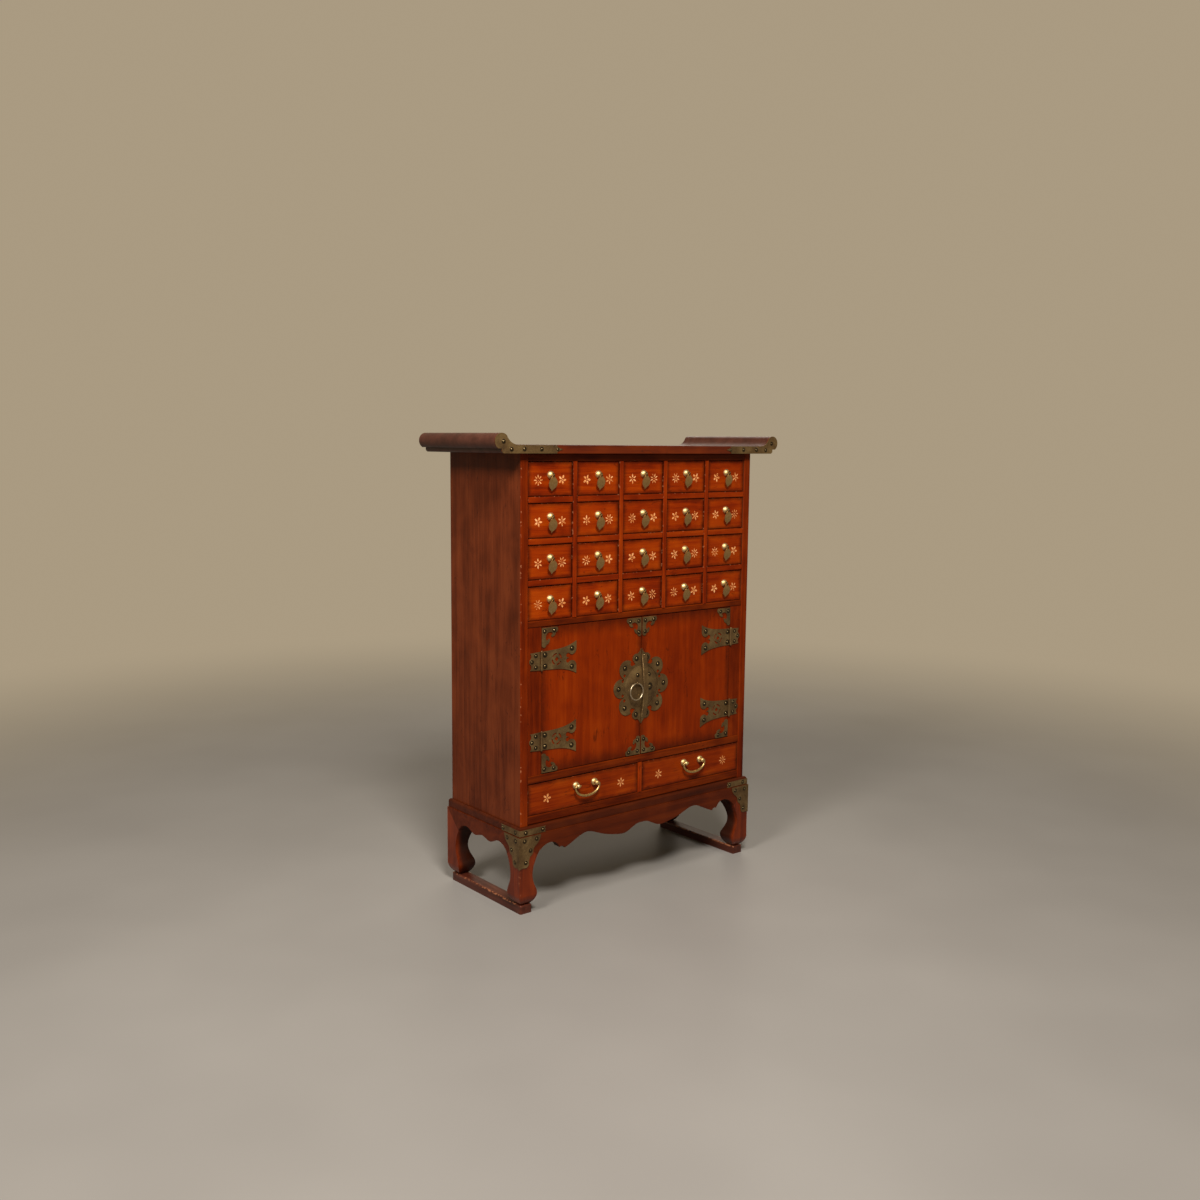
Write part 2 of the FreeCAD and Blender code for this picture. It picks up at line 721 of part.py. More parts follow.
def lock_plate_half():
    """Left half of the lobed plate: cloud lobes parted by round bites, end points and a dome."""
    lobes = [plate_disc(LOBE_AT, angle, LOBE_R) for angle in (0, LOBE_ANGLE, -LOBE_ANGLE)]
    bites = [plate_disc(0, 0, DOME_R - PLATE_T)]
    for side in (-1, 1):
        lobes.append(plate_disc(END_LOBE_AT, side * END_LOBE_ANGLE, END_LOBE_R))
        bites += [plate_disc(BITE_AT, side * angle, BITE_R) for angle in BITE_ANGLES]
        bites.append(plate_disc(END_BITE_AT, side * END_BITE_ANGLE, END_BITE_R))
    blank = fuse([plate_disc(0, 0, PLATE_DISC_R), plate_points()] + lobes)
    centre = lock_centre()
    reach = 2 * PLATE_POINT
    left = box(-reach, -DOOR_SEAM_GAP, centre.y - reach, centre.y, centre.z - reach, centre.z + reach)
    plate = blank.cut(bites).common(left)
    return plate.fuse(dome_shell().common(left))


def seam_strip():
    """Bowed cover strip on the right door's half of the plate, lapped over part of the seam."""
    centre = lock_centre()
    end_y = centre.y - STRIP_END_T
    crest_y = centre.y - DOME_H - STRIP_PROUD
    start = (centre.y, centre.z - STRIP_HALF_L)
    steps = [
        [(end_y, centre.z - STRIP_HALF_L)],
        [(crest_y, centre.z), (end_y, centre.z + STRIP_HALF_L)],
        [(centre.y, centre.z + STRIP_HALF_L)],
        [start],
    ]
    face = outline(lambda y, z: V(DOOR_SEAM_GAP - STRIP_LAP, y, z), start, steps)
    strip = face.extrude(V(STRIP_W, 0, 0))
    bowed = [edge for edge in strip.Edges if isinstance(edge.Curve, Part.Circle)]
    strip = strip.makeFillet(STRIP_ROUND, bowed)
    return strip.cut(dome_sphere(-PLATE_T / 2))


def ring_axis():
    """Middle of the eye that the ring hangs in, on the left door and clear of the seam."""
    x = -DOOR_SEAM_GAP - RING_SEAM_GAP - RING_R - RING_WIRE_R
    return V(x, DOOR_Y - RING_STANDOFF, lock_centre().z + RING_EYE_RISE)


def ring_eye():
    axis = ring_axis()
    eye_r = RING_WIRE_R + RING_PLAY + EYE_WIRE_R
    eye = Part.makeTorus(eye_r, EYE_WIRE_R, axis, X_AXIS)
    stem_from = axis + V(0, eye_r, 0)
    from_centre = math.hypot(axis.x, RING_EYE_RISE)
    dome_y = DOOR_Y - DOME_H + dome_radius() - math.sqrt(dome_radius() ** 2 - from_centre ** 2)
    stem = Part.makeCylinder(EYE_STEM_R, dome_y - stem_from.y + PLATE_T / 2, stem_from, Y_AXIS)
    return fuse([eye, stem])


def ring_pull():
    centre = ring_axis() - V(0, 0, RING_R)
    return [Part.makeTorus(RING_R, RING_WIRE_R, centre, Y_AXIS)]


def door_plates():
    leaves = [hinge_door_leaf(z) for z in hinge_levels()]
    return leaves + corner_brackets()


def door_fittings_left():
    plate = lock_plate_half()
    return door_plates() + [plate, ring_eye().cut(plate)]


def door_fittings_right():
    plate = mirrored_x([lock_plate_half()])[0]
    return mirrored_x(door_plates()) + [plate.fuse(seam_strip())]


# Scroll top

def scroll_outline(y_back, thickness, start_x):
    """Right-hand scroll end: board below, sweep up to a roll that overhangs the board's end."""
    end_x = HALF_W + TOP_END_OVERHANG
    low = BODY_TOP_Z
    high = BODY_TOP_Z + TOP_T
    roll_z = high + ROLL_RISE - ROLL_R
    neck = math.radians(ROLL_NECK_ANGLE)
    neck_x = end_x + ROLL_R * math.cos(neck)
    neck_z = roll_z + ROLL_R * math.sin(neck)
    crown = math.radians(ROLL_CROWN_ANGLE)
    crown_x = end_x + ROLL_R * math.cos(crown)
    crown_z = roll_z + ROLL_R * math.sin(crown)
    sweep_x = end_x - SCROLL_SWEEP
    across, up = SWEEP_MIDDLE
    sweep_mid = (crown_x - (crown_x - sweep_x) * across, high + (crown_z - high) * up)
    nose = SCROLL_NOSE_R * CORNER_SHARE
    steps = [
        [(end_x - SCROLL_NOSE_R, low)],
        [(end_x - nose, low + nose), (end_x, low + SCROLL_NOSE_R)],
        [(end_x, neck_z)],
        [(neck_x, neck_z)],
        [(end_x + ROLL_R, roll_z), (crown_x, crown_z)],
        [sweep_mid, (sweep_x, high)],
        [(start_x, high)],
        [(start_x, low)],
    ]
    return front_sheet((start_x, low), steps, y_back, thickness)


def scroll_top():
    """Board with a rolled end joined to each side."""
    front = FRONT_Y - TOP_FRONT_OVERHANG
    back = BACK_Y + TOP_BACK_OVERHANG
    joint_x = HALF_W + TOP_END_OVERHANG - SCROLL_SWEEP - SCROLL_LAND
    board = box(-joint_x, joint_x, front, back, BODY_TOP_Z, BODY_TOP_Z + TOP_T)
    roll = scroll_outline(back, back - front, joint_x)
    return [board, roll] + mirrored_x([roll])


def scroll_end_plate():
    """Brass over the right end of the top's front edge, pointed where it stops."""
    front = FRONT_Y - TOP_FRONT_OVERHANG
    start = HALF_W - END_PLATE_REACH
    mid = BODY_TOP_Z + TOP_T / 2
    plate = scroll_outline(front, END_PLATE_T, start)
    for z in (BODY_TOP_Z, BODY_TOP_Z + TOP_T):
        plate = plate.cut(Part.makeCylinder(END_PLATE_BITE_R, END_PLATE_T, V(start, front, z), -Y_AXIS))
    root = (start, mid + END_PLATE_TONGUE)
    tongue = [[(start - END_PLATE_POINT, mid)], [(start, mid - END_PLATE_TONGUE)], [root]]
    return fuse([plate, front_sheet(root, tongue, front, END_PLATE_T)])


# Stand

def leg_face(place):
    """Outline of a leg seen square on: straight outer edge, bulbed foot, waisted ankle."""
    height = LEG_TOP_Z - RUNNER_H
    edge = [(width, RUNNER_H + share * height) for width, share in LEG_EDGE]
    edge.append((LEG_TOP_W, MITRE_Z))
    across, up = FOOT_ROUND_MIDDLE
    steps = [
        [(0, RUNNER_H + FOOT_ROUND_H)],
        [(FOOT_FLOOR_OUT * across, RUNNER_H + FOOT_ROUND_H * up), (FOOT_FLOOR_OUT, RUNNER_H)],
        [(FOOT_FLOOR_IN, RUNNER_H)],
        edge,
        [(LEG_TOP_W, LEG_TOP_Z)],
        [(0, LEG_TOP_Z)],
    ]
    return outline(place, (0, LEG_TOP_Z), steps)


def apron_steps(half_length, half):
    """Mitred board outline about its own middle; half is the left half of its lower edge."""
    start = (-half_length, LEG_TOP_Z)
    foot = (-half_length + LEG_TOP_W, MITRE_Z)
    steps = mirror_steps(start, [[foot]] + half, lambda along, z: (-along, z))
    return start, steps + [[start]]


def front_edge():
    leg_x = -STAND_HALF_W + LEG_TOP_W
    arch = [(leg_x + d, MITRE_Z + rise) for d, rise in FRONT_END_ARCH]
    cusp = [(leg_x + d, MITRE_Z + rise) for d, rise in FRONT_CUSP]
    wave = [(leg_x + FRONT_END_RISE[0], MITRE_Z + FRONT_END_RISE[1])]
    wave += [(-d, MITRE_Z + rise) for d, rise in FRONT_MIDDLE]
    return [arch, cusp, wave]


def side_edge(half_length):
    leg_y = -half_length + LEG_TOP_W
    wave = [(leg_y + d, MITRE_Z + rise) for d, rise in SIDE_END_ARCH]
    wave += [(-d, MITRE_Z + rise) for d, rise in SIDE_MIDDLE]
    return [wave]


def corner_wedge(width):
    """Cutter that leaves a front board its 45 degree mitre at the stand's front left corner."""
    corner = V(-STAND_HALF_W, STAND_FRONT_Y, 0)
    points = [corner, corner + V(width, width, 0), corner + V(-width, width, 0), corner]
    return Part.Face(Part.makePolygon(points)).extrude(V(0, 0, STAND_H))


def front_apron_blank(start, steps):
    face = outline(lambda x, z: V(x, STAND_FRONT_Y, z), start, steps)
    board = face.extrude(V(0, APRON_T, 0))
    wedge = corner_wedge(2 * APRON_T)
    return board.cut([wedge] + mirrored_x([wedge]))


def side_apron():
    half = (STAND_BACK_Y - STAND_FRONT_Y) / 2
    start, steps = apron_steps(half, side_edge(half))
    face = outline(lambda y, z: V(-STAND_HALF_W, MIDDLE_Y + y, z), start, steps)
    board = face.extrude(V(APRON_T, 0, 0))
    corner = V(-STAND_HALF_W, STAND_FRONT_Y, 0)
    reach = 2 * APRON_T
    points = [corner, corner + V(reach, reach, 0), corner + V(reach, -reach, 0), corner]
    wedge = Part.Face(Part.makePolygon(points)).extrude(V(0, 0, STAND_H))
    return board.cut([wedge] + mirrored_y([wedge]))


def back_apron():
    """Plain straight board behind, mitred as the front one is."""
    low = LEG_TOP_Z - BACK_APRON_H
    step = BACK_APRON_H
    start = (-STAND_HALF_W, LEG_TOP_Z)
    lower = [[(-STAND_HALF_W + step, low)], [(STAND_HALF_W - step, low)]]
    board = front_apron_blank(start, lower + [[(STAND_HALF_W, LEG_TOP_Z)], [start]])
    return mirrored_y([board])[0]


def band_section(place):
    """Outline of the band's section: width in from its outer face, with a rounded shoulder."""
    r = BAND_SHOULDER_R
    low = LEG_TOP_Z
    high = STAND_H
    steps = [
        [(0, high - r)],
        [(r * CORNER_SHARE, high - r * CORNER_SHARE), (r, high)],
        [(BAND_W, high)],
        [(BAND_W, low)],
        [(0, low)],
    ]
    return outline(place, (0, low), steps).OuterWire


def band_lengths():
    """Front, back and two side lengths of the band, each ruled between its two mitres."""
    half_x = HALF_W + BAND_PROUD
    front_y = FRONT_Y - BAND_PROUD
    back_y = BACK_Y + BAND_PROUD
    front_left = band_section(lambda w, z: V(-half_x + w, front_y + w, z))
    front_right = band_section(lambda w, z: V(half_x - w, front_y + w, z))
    back_left = band_section(lambda w, z: V(-half_x + w, back_y - w, z))
    front = Part.makeLoft([front_left, front_right], True, True)
    side = Part.makeLoft([front_left, back_left], True, True)
    return [front] + mirrored_y([front]) + [side] + mirrored_x([side])


def front_apron():
    start, steps = apron_steps(STAND_HALF_W, front_edge())
    return front_apron_blank(start, steps)


def stand_aprons():
    side = side_apron()
    return [front_apron(), back_apron(), side] + mirrored_x([side]) + band_lengths()


def legs_at(front_board, side_board):
    """Leg of the front left corner: two face outlines crossed, cut away for both aprons."""
    ahead = leg_face(lambda w, z: V(-STAND_HALF_W + w, STAND_FRONT_Y, z))
    beside = leg_face(lambda w, z: V(-STAND_HALF_W, STAND_FRONT_Y + w, z))
    post = ahead.extrude(V(0, LEG_TOP_W, 0)).common(beside.extrude(V(LEG_TOP_W, 0, 0)))
    return post.cut([front_board, side_board])


def stand_legs():
    side = side_apron()
    front_left = legs_at(front_apron(), side)
    back_left = mirrored_y([legs_at(mirrored_y([back_apron()])[0], side)])[0]
    left = [front_left, back_left]
    return left + mirrored_x(left)


def floor_runners():
    x0 = -STAND_HALF_W + RUNNER_INSET
    front = STAND_FRONT_Y + RUNNER_INSET
    back = STAND_BACK_Y - RUNNER_INSET
    runner = box(x0, x0 + RUNNER_W, front, back, 0, RUNNER_H)
    off_floor = [edge for edge in runner.Edges if edge.BoundBox.ZMax > NEAR]
    runner = runner.makeFillet(RUNNER_ROUND, off_floor)
    return [runner] + mirrored_x([runner])


def bent_plate(half_x, front_y, start, steps):
    """Sheet bent round the front left corner; the outline runs from the corner along each face."""
    ahead = outline(lambda w, z: V(-half_x - PLATE_T + w, front_y, z), start, steps)
    beside = outline(lambda w, z: V(-half_x, front_y - PLATE_T + w, z), start, steps)
    return fuse([ahead.extrude(V(0, -PLATE_T, 0)), beside.extrude(V(-PLATE_T, 0, 0))])


def band_strap():
    low = LEG_TOP_Z + STRAP_RISE
    high = low + STRAP_H
    mid = (low + high) / 2
    steps = [
        [(STRAP_L, low)],
        [(STRAP_L - STRAP_BITE, (low + mid) / 2), (STRAP_L, mid)],
        [(STRAP_L - STRAP_BITE, (high + mid) / 2), (STRAP_L, high)],
        [(0, high)],
        [(0, low)],
    ]
    return bent_plate(HALF_W + BAND_PROUD, FRONT_Y - BAND_PROUD, (0, low), steps)


def leg_plate():
    high = LEG_TOP_Z - STRAP_RISE
    steps = [[(V_PLATE_W, high)]]
    for step in V_PLATE_STEPS:
        steps.append([(V_PLATE_W * across, high - V_PLATE_DROP * down) for across, down in step])
    steps.append([(0, high - V_PLATE_DROP)])
    steps.append([(0, high)])
    return bent_plate(STAND_HALF_W, STAND_FRONT_Y, (0, high), steps)


def corner_mounts():
    left = [band_strap(), leg_plate()]
    right_end = [scroll_end_plate()]
    return left + mirrored_x(left) + right_end + mirrored_x(right_end)


def all_parts():
    parts = {
        "side_panels": side_panels(),
        "back_panel": back_panel(),
        "carcass_boards": carcass_boards(),
        "drawer_dividers": drawer_dividers(),
        "door_jambs": door_jambs(),
        "scroll_top": scroll_top(),
        "stand_legs": stand_legs(),
        "stand_aprons": stand_aprons(),
        "floor_runners": floor_runners(),
        "corner_mounts": corner_mounts(),
        "hinge_frame_leaves": hinge_frame_leaves(),
        "door_left": [door_panel()],
        "door_right": mirrored_x([door_panel()]),
        "door_fittings_left": door_fittings_left(),
        "door_fittings_right": door_fittings_right(),
        "ring_pull": ring_pull(),
        "lower_drawer_left": lower_drawer(-1),
        "lower_drawer_right": lower_drawer(1),
        "bail_handle_left": bail_handle(-1),
        "bail_handle_right": bail_handle(1),
    }
    for row in range(ROWS):
        for column in range(COLUMNS):
            place = f"r{row + 1}_c{column + 1}"
            parts[f"drawer_{place}"] = small_drawer(row, column)
            parts[f"drop_pull_{place}"] = drop_pull(row, column)
    return parts


os.makedirs("parts", exist_ok=True)
for name, solids in all_parts().items():
    Part.makeCompound(solids).exportStep(f"parts/{name}.step")
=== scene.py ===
import math
from functools import partial

import bmesh
import bpy
from mathutils import Matrix, Vector


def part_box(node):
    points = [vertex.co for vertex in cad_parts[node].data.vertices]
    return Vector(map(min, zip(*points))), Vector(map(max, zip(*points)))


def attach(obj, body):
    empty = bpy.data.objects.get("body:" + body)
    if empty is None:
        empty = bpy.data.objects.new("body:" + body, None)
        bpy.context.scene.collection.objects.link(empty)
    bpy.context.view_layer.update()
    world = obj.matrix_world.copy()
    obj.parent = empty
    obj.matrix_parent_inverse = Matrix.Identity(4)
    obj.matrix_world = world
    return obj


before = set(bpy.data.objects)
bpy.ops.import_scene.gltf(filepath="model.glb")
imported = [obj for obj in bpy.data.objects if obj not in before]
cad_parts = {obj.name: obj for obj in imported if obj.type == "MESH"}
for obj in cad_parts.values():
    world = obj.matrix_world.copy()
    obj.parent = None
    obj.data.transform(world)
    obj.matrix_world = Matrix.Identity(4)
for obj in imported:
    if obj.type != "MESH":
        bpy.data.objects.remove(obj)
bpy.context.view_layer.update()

# Sizes are in millimetres unless a name says otherwise
MM = 0.001
ROWS = 4
COLUMNS = 5

# Camera of the photograph: image and focal length in pixels, angles in degrees, place in metres
IMAGE_PX = 1200
FOCAL_PX = 1218.4
SENSOR = 36.0
YAW = 38.99
PITCH = -7.40
ROLL = 0.52
CAMERA_AT = (-1.6506, -2.0194, 0.933)

# Boards and plates that the frame's boxes don't give by themselves
SMALL_RECESS = 3.0
LOWER_RECESS = 1.5
FRONT_T = 14.0
ROSETTE_H = 7.6
DOOR_HINGE_GAP = 0.8
PLATE_T = 1.4
BAND_PROUD = 6.0

body_low, body_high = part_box("side_panels")
door_low, door_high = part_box("door_left")
stand_low, stand_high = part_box("stand_legs")
top_low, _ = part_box("scroll_top")
FRONT_Y = body_low.y / MM
HALF_W = body_high.x / MM
DOOR_Y = door_low.y / MM
DOOR_LOW_Z = door_low.z / MM
DOOR_HIGH_Z = door_high.z / MM
DOOR_MID_Z = (DOOR_LOW_Z + DOOR_HIGH_Z) / 2
DOOR_HALF = ((door_high.x - door_low.x) / 2 / MM, (DOOR_HIGH_Z - DOOR_LOW_Z) / 2)
DOOR_MID_X = -(door_high.x + door_low.x) / 2 / MM
DOOR_OUTER_X = -door_low.x / MM
DOOR_SEAM_X = -door_high.x / MM
HINGE_X = DOOR_OUTER_X + DOOR_HINGE_GAP
STAND_HALF_W = stand_high.x / MM
STAND_Y = stand_low.y / MM
STAND_MID_Y = (stand_low.y + stand_high.y) / 2 / MM
STAND_HALF_D = (stand_high.y - stand_low.y) / 2 / MM
LEG_TOP_Z = stand_high.z / MM
runner_edges = [abs(corner.co.x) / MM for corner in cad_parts["floor_runners"].data.vertices]
RUNNER_MID_X = (min(runner_edges) + max(runner_edges)) / 2
RUNNER_HALF_W = (max(runner_edges) - min(runner_edges)) / 2
RUNNER_TOP_Z = stand_low.z / MM
TOP_Y = top_low.y / MM


def front_of(node, recess):
    """Middle and half sizes of a drawer's front, in X and Z, and the Y of its face."""
    low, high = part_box(node)
    middle = ((low.x + high.x) / 2 / MM, (low.z + high.z) / 2 / MM)
    half = ((high.x - low.x) / 2 / MM, (high.z - low.z) / 2 / MM)
    return middle, half, FRONT_Y + recess


FIRST, SMALL_HALF, SMALL_FACE_Y = front_of("drawer_r1_c1", SMALL_RECESS)
LOWER, LOWER_HALF, LOWER_FACE_Y = front_of("lower_drawer_right", LOWER_RECESS)
PITCH_X = front_of("drawer_r1_c2", SMALL_RECESS)[0][0] - FIRST[0]
PITCH_Z = FIRST[1] - front_of("drawer_r2_c1", SMALL_RECESS)[0][1]


# Materials

def colour(code):
    """Linear colour of an sRGB hex code."""
    parts = [int(code[i:i + 2], 16) / 255 for i in (1, 3, 5)]
    linear = [p / 12.92 if p <= 0.04045 else ((p + 0.055) / 1.055) ** 2.4 for p in parts]
    return (*linear, 1.0)


def connect(node, inputs):
    """Sets a node's inputs, by name or number, or links them to the sockets given."""
    for key, value in inputs.items():
        if isinstance(value, bpy.types.NodeSocket):
            node.id_data.links.new(value, node.inputs[key])
        else:
            node.inputs[key].default_value = value


def add_node(tree, kind, inputs, output=0, stops=(), **settings):
    """New shader node with its settings, links and colour stops; gives one of its outputs."""
    node = tree.nodes.new("ShaderNode" + kind)
    for name, value in settings.items():
        setattr(node, name, value)
    connect(node, inputs)
    for extra in stops[2:]:
        node.color_ramp.elements.new(extra[0])
    for element, (position, code) in zip(node.color_ramp.elements if stops else (), stops):
        element.position = position
        element.color = colour(code)
    return node.outputs[output]


def start_material(name):
    """New material with its shader, its node adder and the place on the object, in metres."""
    material = bpy.data.materials.new(name)
    material.use_nodes = True
    tree = material.node_tree
    add = partial(add_node, tree)
    return material, tree.nodes["Principled BSDF"], add, add("TexCoord", {}, output="Object")


def rates(along, sizes):
    """Rates on X, Y and Z that give a pattern its size along the fibres and across them."""
    long, across = sizes
    return tuple(1 / (MM * (long if axis == along else across)) for axis in "XYZ")


def even(size):
    """Rates of a pattern with one size all round."""
    return (1 / (MM * size),) * 3


def millimetres(add, place):
    """X, Y and Z of the place, in millimetres."""
    scaled = add("VectorMath", {0: place, 1: (1 / MM,) * 3}, operation="MULTIPLY")
    return [add("SeparateXYZ", {0: scaled}, output=axis) for axis in range(3)]


def apart(add, value, middle):
    """Distance of a value from a middle, to either side of it."""
    off = add("Math", {0: value, 1: middle}, operation="SUBTRACT")
    return add("Math", {0: off}, operation="ABSOLUTE")


# How broken the edges of a pattern are, as its layers of noise
SMOOTH = 1.0
CLOUDY = 2.0
RAGGED = 3.0

# Range of a pattern's tone that its roughness follows
DARK_TONE = 0.35
PALE_TONE = 0.65

# Elm, stained red-brown and lacquered by hand. It shows long flames of figure, short pores, cloudy
# stain, and thin dark checks along the fibres. The pores are a few tenths of a millimetre wide on the
# wood, and drawn coarser here so that they show. Each pattern has its sizes along the fibres and
# across them, its layers and its twist.
FIGURE = ((320.0, 16.0), RAGGED, 0.9)
PORES = ((34.0, 1.5), CLOUDY, 0.0)
CLOUDS = ((75.0, 60.0), CLOUDY, 0.4)
CHECKS = ((170.0, 30.0), RAGGED, 1.6)
FIGURE_SHARE = 0.42
PORE_SHARE = 0.2
CLOUD_SHARE = 0.38
CHECK_LEVEL = 0.5
CHECK_W = 0.009
CHECK_PATCH = 42.0
CHECK_PATCH_EDGE = (0.5, 0.6)
CHECK_DEPTH = 0.6
STAIN_PATCH = 15.0
SCUFF = 7.0
FEW_SCUFFS = 0.58
MANY_SCUFFS = 0.47
SCUFF_EDGE = 0.1
SCUFF_DEPTH = 0.5

# A board is cut from its own place in the wood: its seed times these steps, in metres. The second part
# of a board, such as its back or inside, is cut this much further on.
SEED_STEPS = (1.0, 1.7, 2.3)
BACK_CUT = 0.3
SECOND_CUT = 0.4
BOX_CUT = 0.6
INNER_CUT = 0.8

FRONT_STAIN = ((0.34, "#5E1601"), (0.44, "#7C2301"), (0.53, "#8E2F02"), (0.66, "#A03F04"))
DIVIDER_STAIN = ((0.34, "#4E1101"), (0.44, "#6C1D01"), (0.53, "#802802"), (0.66, "#943704"))
DOOR_STAIN = ((0.34, "#661B01"), (0.44, "#732201"), (0.53, "#7F2801"), (0.66, "#8E3303"))
FRAME_STAIN = ((0.34, "#440F01"), (0.44, "#5E1A01"), (0.53, "#702302"), (0.66, "#823004"))
RAIL_STAIN = ((0.34, "#380E02"), (0.44, "#521802"), (0.53, "#642202"), (0.66, "#762C05"))
STAND_STAIN = ((0.34, "#461403"), (0.44, "#5C1D03"), (0.53, "#6E2604"), (0.66, "#803106"))
APRON_STAIN = ((0.34, "#380F02"), (0.44, "#471602"), (0.53, "#531C03"), (0.66, "#632605"))
LOWER_STAIN = ((0.34, "#5A1802"), (0.44, "#782502"), (0.53, "#8A3103"), (0.66, "#9C4006"))
SIDE_STAIN = ((0.34, "#431909"), (0.44, "#53220E"), (0.53, "#612A13"), (0.66, "#703419"))
TOP_EDGE_STAIN = ((0.34, "#320B01"), (0.44, "#4A1401"), (0.53, "#5A1D01"), (0.66, "#6B2703"))
TOP_STAIN = ((0.34, "#31170F"), (0.5, "#432219"), (0.66, "#532F24"))
RUNNER_STAIN = ((0.34, "#2C130C"), (0.5, "#482015"), (0.66, "#613022"))
BARE_WOOD = ((0.34, "#7C5832"), (0.5, "#9A7346"), (0.66, "#B08A5A"))
# Dark of old rubbed edges on drawers and doors, also laid as painted shade along the drawer openings
OLD_EDGE_AND_SHADE = "#1E0803"
CHECK_LINE = "#2A0B03"
SCUFFED = "#B87A55"
# Colour of the painted shade on the stand's band and inside the stand
STAND_SHADE = "#1A0A05"

# Lacquer: specular level as satin, rubbed or polished, roughness over dark and pale stain, and relief
SATIN = 0.08
RUBBED = 0.14
POLISHED = 0.25
DULL_LACQUER = 0.46
CLEAR_LACQUER = 0.32
BARE_ROUGH = 0.75
GRAIN_RELIEF = 0.12
GRAIN_DEPTH = 0.4


def elm(add, place, along, stain, seed):
    """Colour and tone of stained elm whose fibres run along one axis."""
    start = tuple(seed * step for step in SEED_STEPS)
    moved = add("VectorMath", {0: place, 1: start}, operation="ADD")
    patterns = []
    for sizes, detail, twist in (FIGURE, PORES, CLOUDS, CHECKS):
        at = add("VectorMath", {0: moved, 1: rates(along, sizes)}, operation="MULTIPLY")
        noise = {"Vector": at, "Scale": 1.0, "Detail": detail, "Distortion": twist}
        patterns.append(add("TexNoise", noise))
    figure, pores, clouds, checks = patterns
    tone = add("Math", {0: figure, 1: FIGURE_SHARE}, operation="MULTIPLY")
    tone = add("Math", {0: pores, 1: PORE_SHARE, 2: tone}, operation="MULTIPLY_ADD")
    tone = add("Math", {0: clouds, 1: CLOUD_SHARE, 2: tone}, operation="MULTIPLY_ADD")
    base = add("ValToRGB", {"Fac": tone}, stops=stain)
    off_line = apart(add, checks, CHECK_LEVEL)
    line = add("MapRange", {0: off_line, 1: CHECK_W, 2: 0.0}, interpolation_type="SMOOTHSTEP")
    at = add("VectorMath", {0: moved, 1: even(CHECK_PATCH)}, operation="MULTIPLY")
    patch = add("TexNoise", {"Vector": at, "Scale": 1.0, "Detail": SMOOTH})
    starts, full = CHECK_PATCH_EDGE
    patch = add("MapRange", {0: patch, 1: starts, 2: full, 4: CHECK_DEPTH}, interpolation_type="SMOOTHSTEP")
    line = add("Math", {0: line, 1: patch}, operation="MULTIPLY")
    base = add("Mix", {0: line, 6: base, 7: colour(CHECK_LINE)}, output=2, data_type="RGBA")
    return base, tone


def lacquer_skin(add, tone):
    """Roughness and relief of lacquer: flatter where the stain is dark and open-pored."""
    rough = add("MapRange", {0: tone, 1: DARK_TONE, 2: PALE_TONE, 3: DULL_LACQUER, 4: CLEAR_LACQUER})
    relief = add("Bump", {"Height": tone, "Strength": GRAIN_RELIEF, "Distance": GRAIN_DEPTH * MM})
    return rough, relief


def lacquered(add, shader, base, tone, gloss=SATIN):
    """Lays lacquer over the stain."""
    rough, relief = lacquer_skin(add, tone)
    connect(shader, {"Base Color": base, "Roughness": rough, "Normal": relief})
    connect(shader, {"Specular IOR Level": gloss})


def uneven(add, place, distance, reach):
    """Distance pushed to and fro, so that a hand-rubbed edge, a stain's edge or an edge of painted shade
    wanders.
    """
    at = add("VectorMath", {0: place, 1: even(STAIN_PATCH)}, operation="MULTIPLY")
    push = add("TexNoise", {"Vector": at, "Scale": 1.0, "Detail": RAGGED})
    push = add("MapRange", {0: push, 3: -reach, 4: reach})
    return add("Math", {0: distance, 1: push}, operation="ADD")


def rim_of(add, place, across, up, half, widths, reach):
    """How near a place is to the rim of a rectangle: 0 inside, 1 at its edge."""
    rims = []
    for distance, limit, width in zip((across, up), half, widths):
        pushed = uneven(add, place, distance, reach)
        inward = {0: pushed, 1: limit - width, 2: limit + reach}
        rims.append(add("MapRange", inward, interpolation_type="SMOOTHSTEP"))
    return add("Math", {0: rims[0], 1: rims[1]}, operation="MAXIMUM")


def scuffs(add, place, base, near_arris, sparse=FEW_SCUFFS):
    """Pale flecks where lacquer has chipped along an arris: fewer as sparse grows."""
    at = add("VectorMath", {0: place, 1: even(SCUFF)}, operation="MULTIPLY")
    fleck = add("TexNoise", {"Vector": at, "Scale": 1.0, "Detail": RAGGED})
    chipped = {0: fleck, 1: sparse, 2: sparse + SCUFF_EDGE, 4: SCUFF_DEPTH}
    fleck = add("MapRange", chipped, interpolation_type="SMOOTHSTEP")
    fleck = add("Math", {0: fleck, 1: near_arris}, operation="MULTIPLY")
    return add("Mix", {0: fleck, 6: base, 7: colour(SCUFFED)}, output=2, data_type="RGBA")


def stained_elm(name, stain, along, seed):
    """Board with one stain all over."""
    material, shader, add, place = start_material(name)
    lacquered(add, shader, *elm(add, place, along, stain, seed))
    return material


# Stand: painted shade on the band and inside the outer faces, and how far from a corner or arris chips
# reach
BAND_EDGE = 1.0
BAND_SHADE = 0.35
SHADE_WANDER = 2.0
SHADE_STARTS = 2.0
SHADE_FULL = 14.0
SHADE_SHARE = 0.85
STAND_CHIPS = (4.0, 1.5)


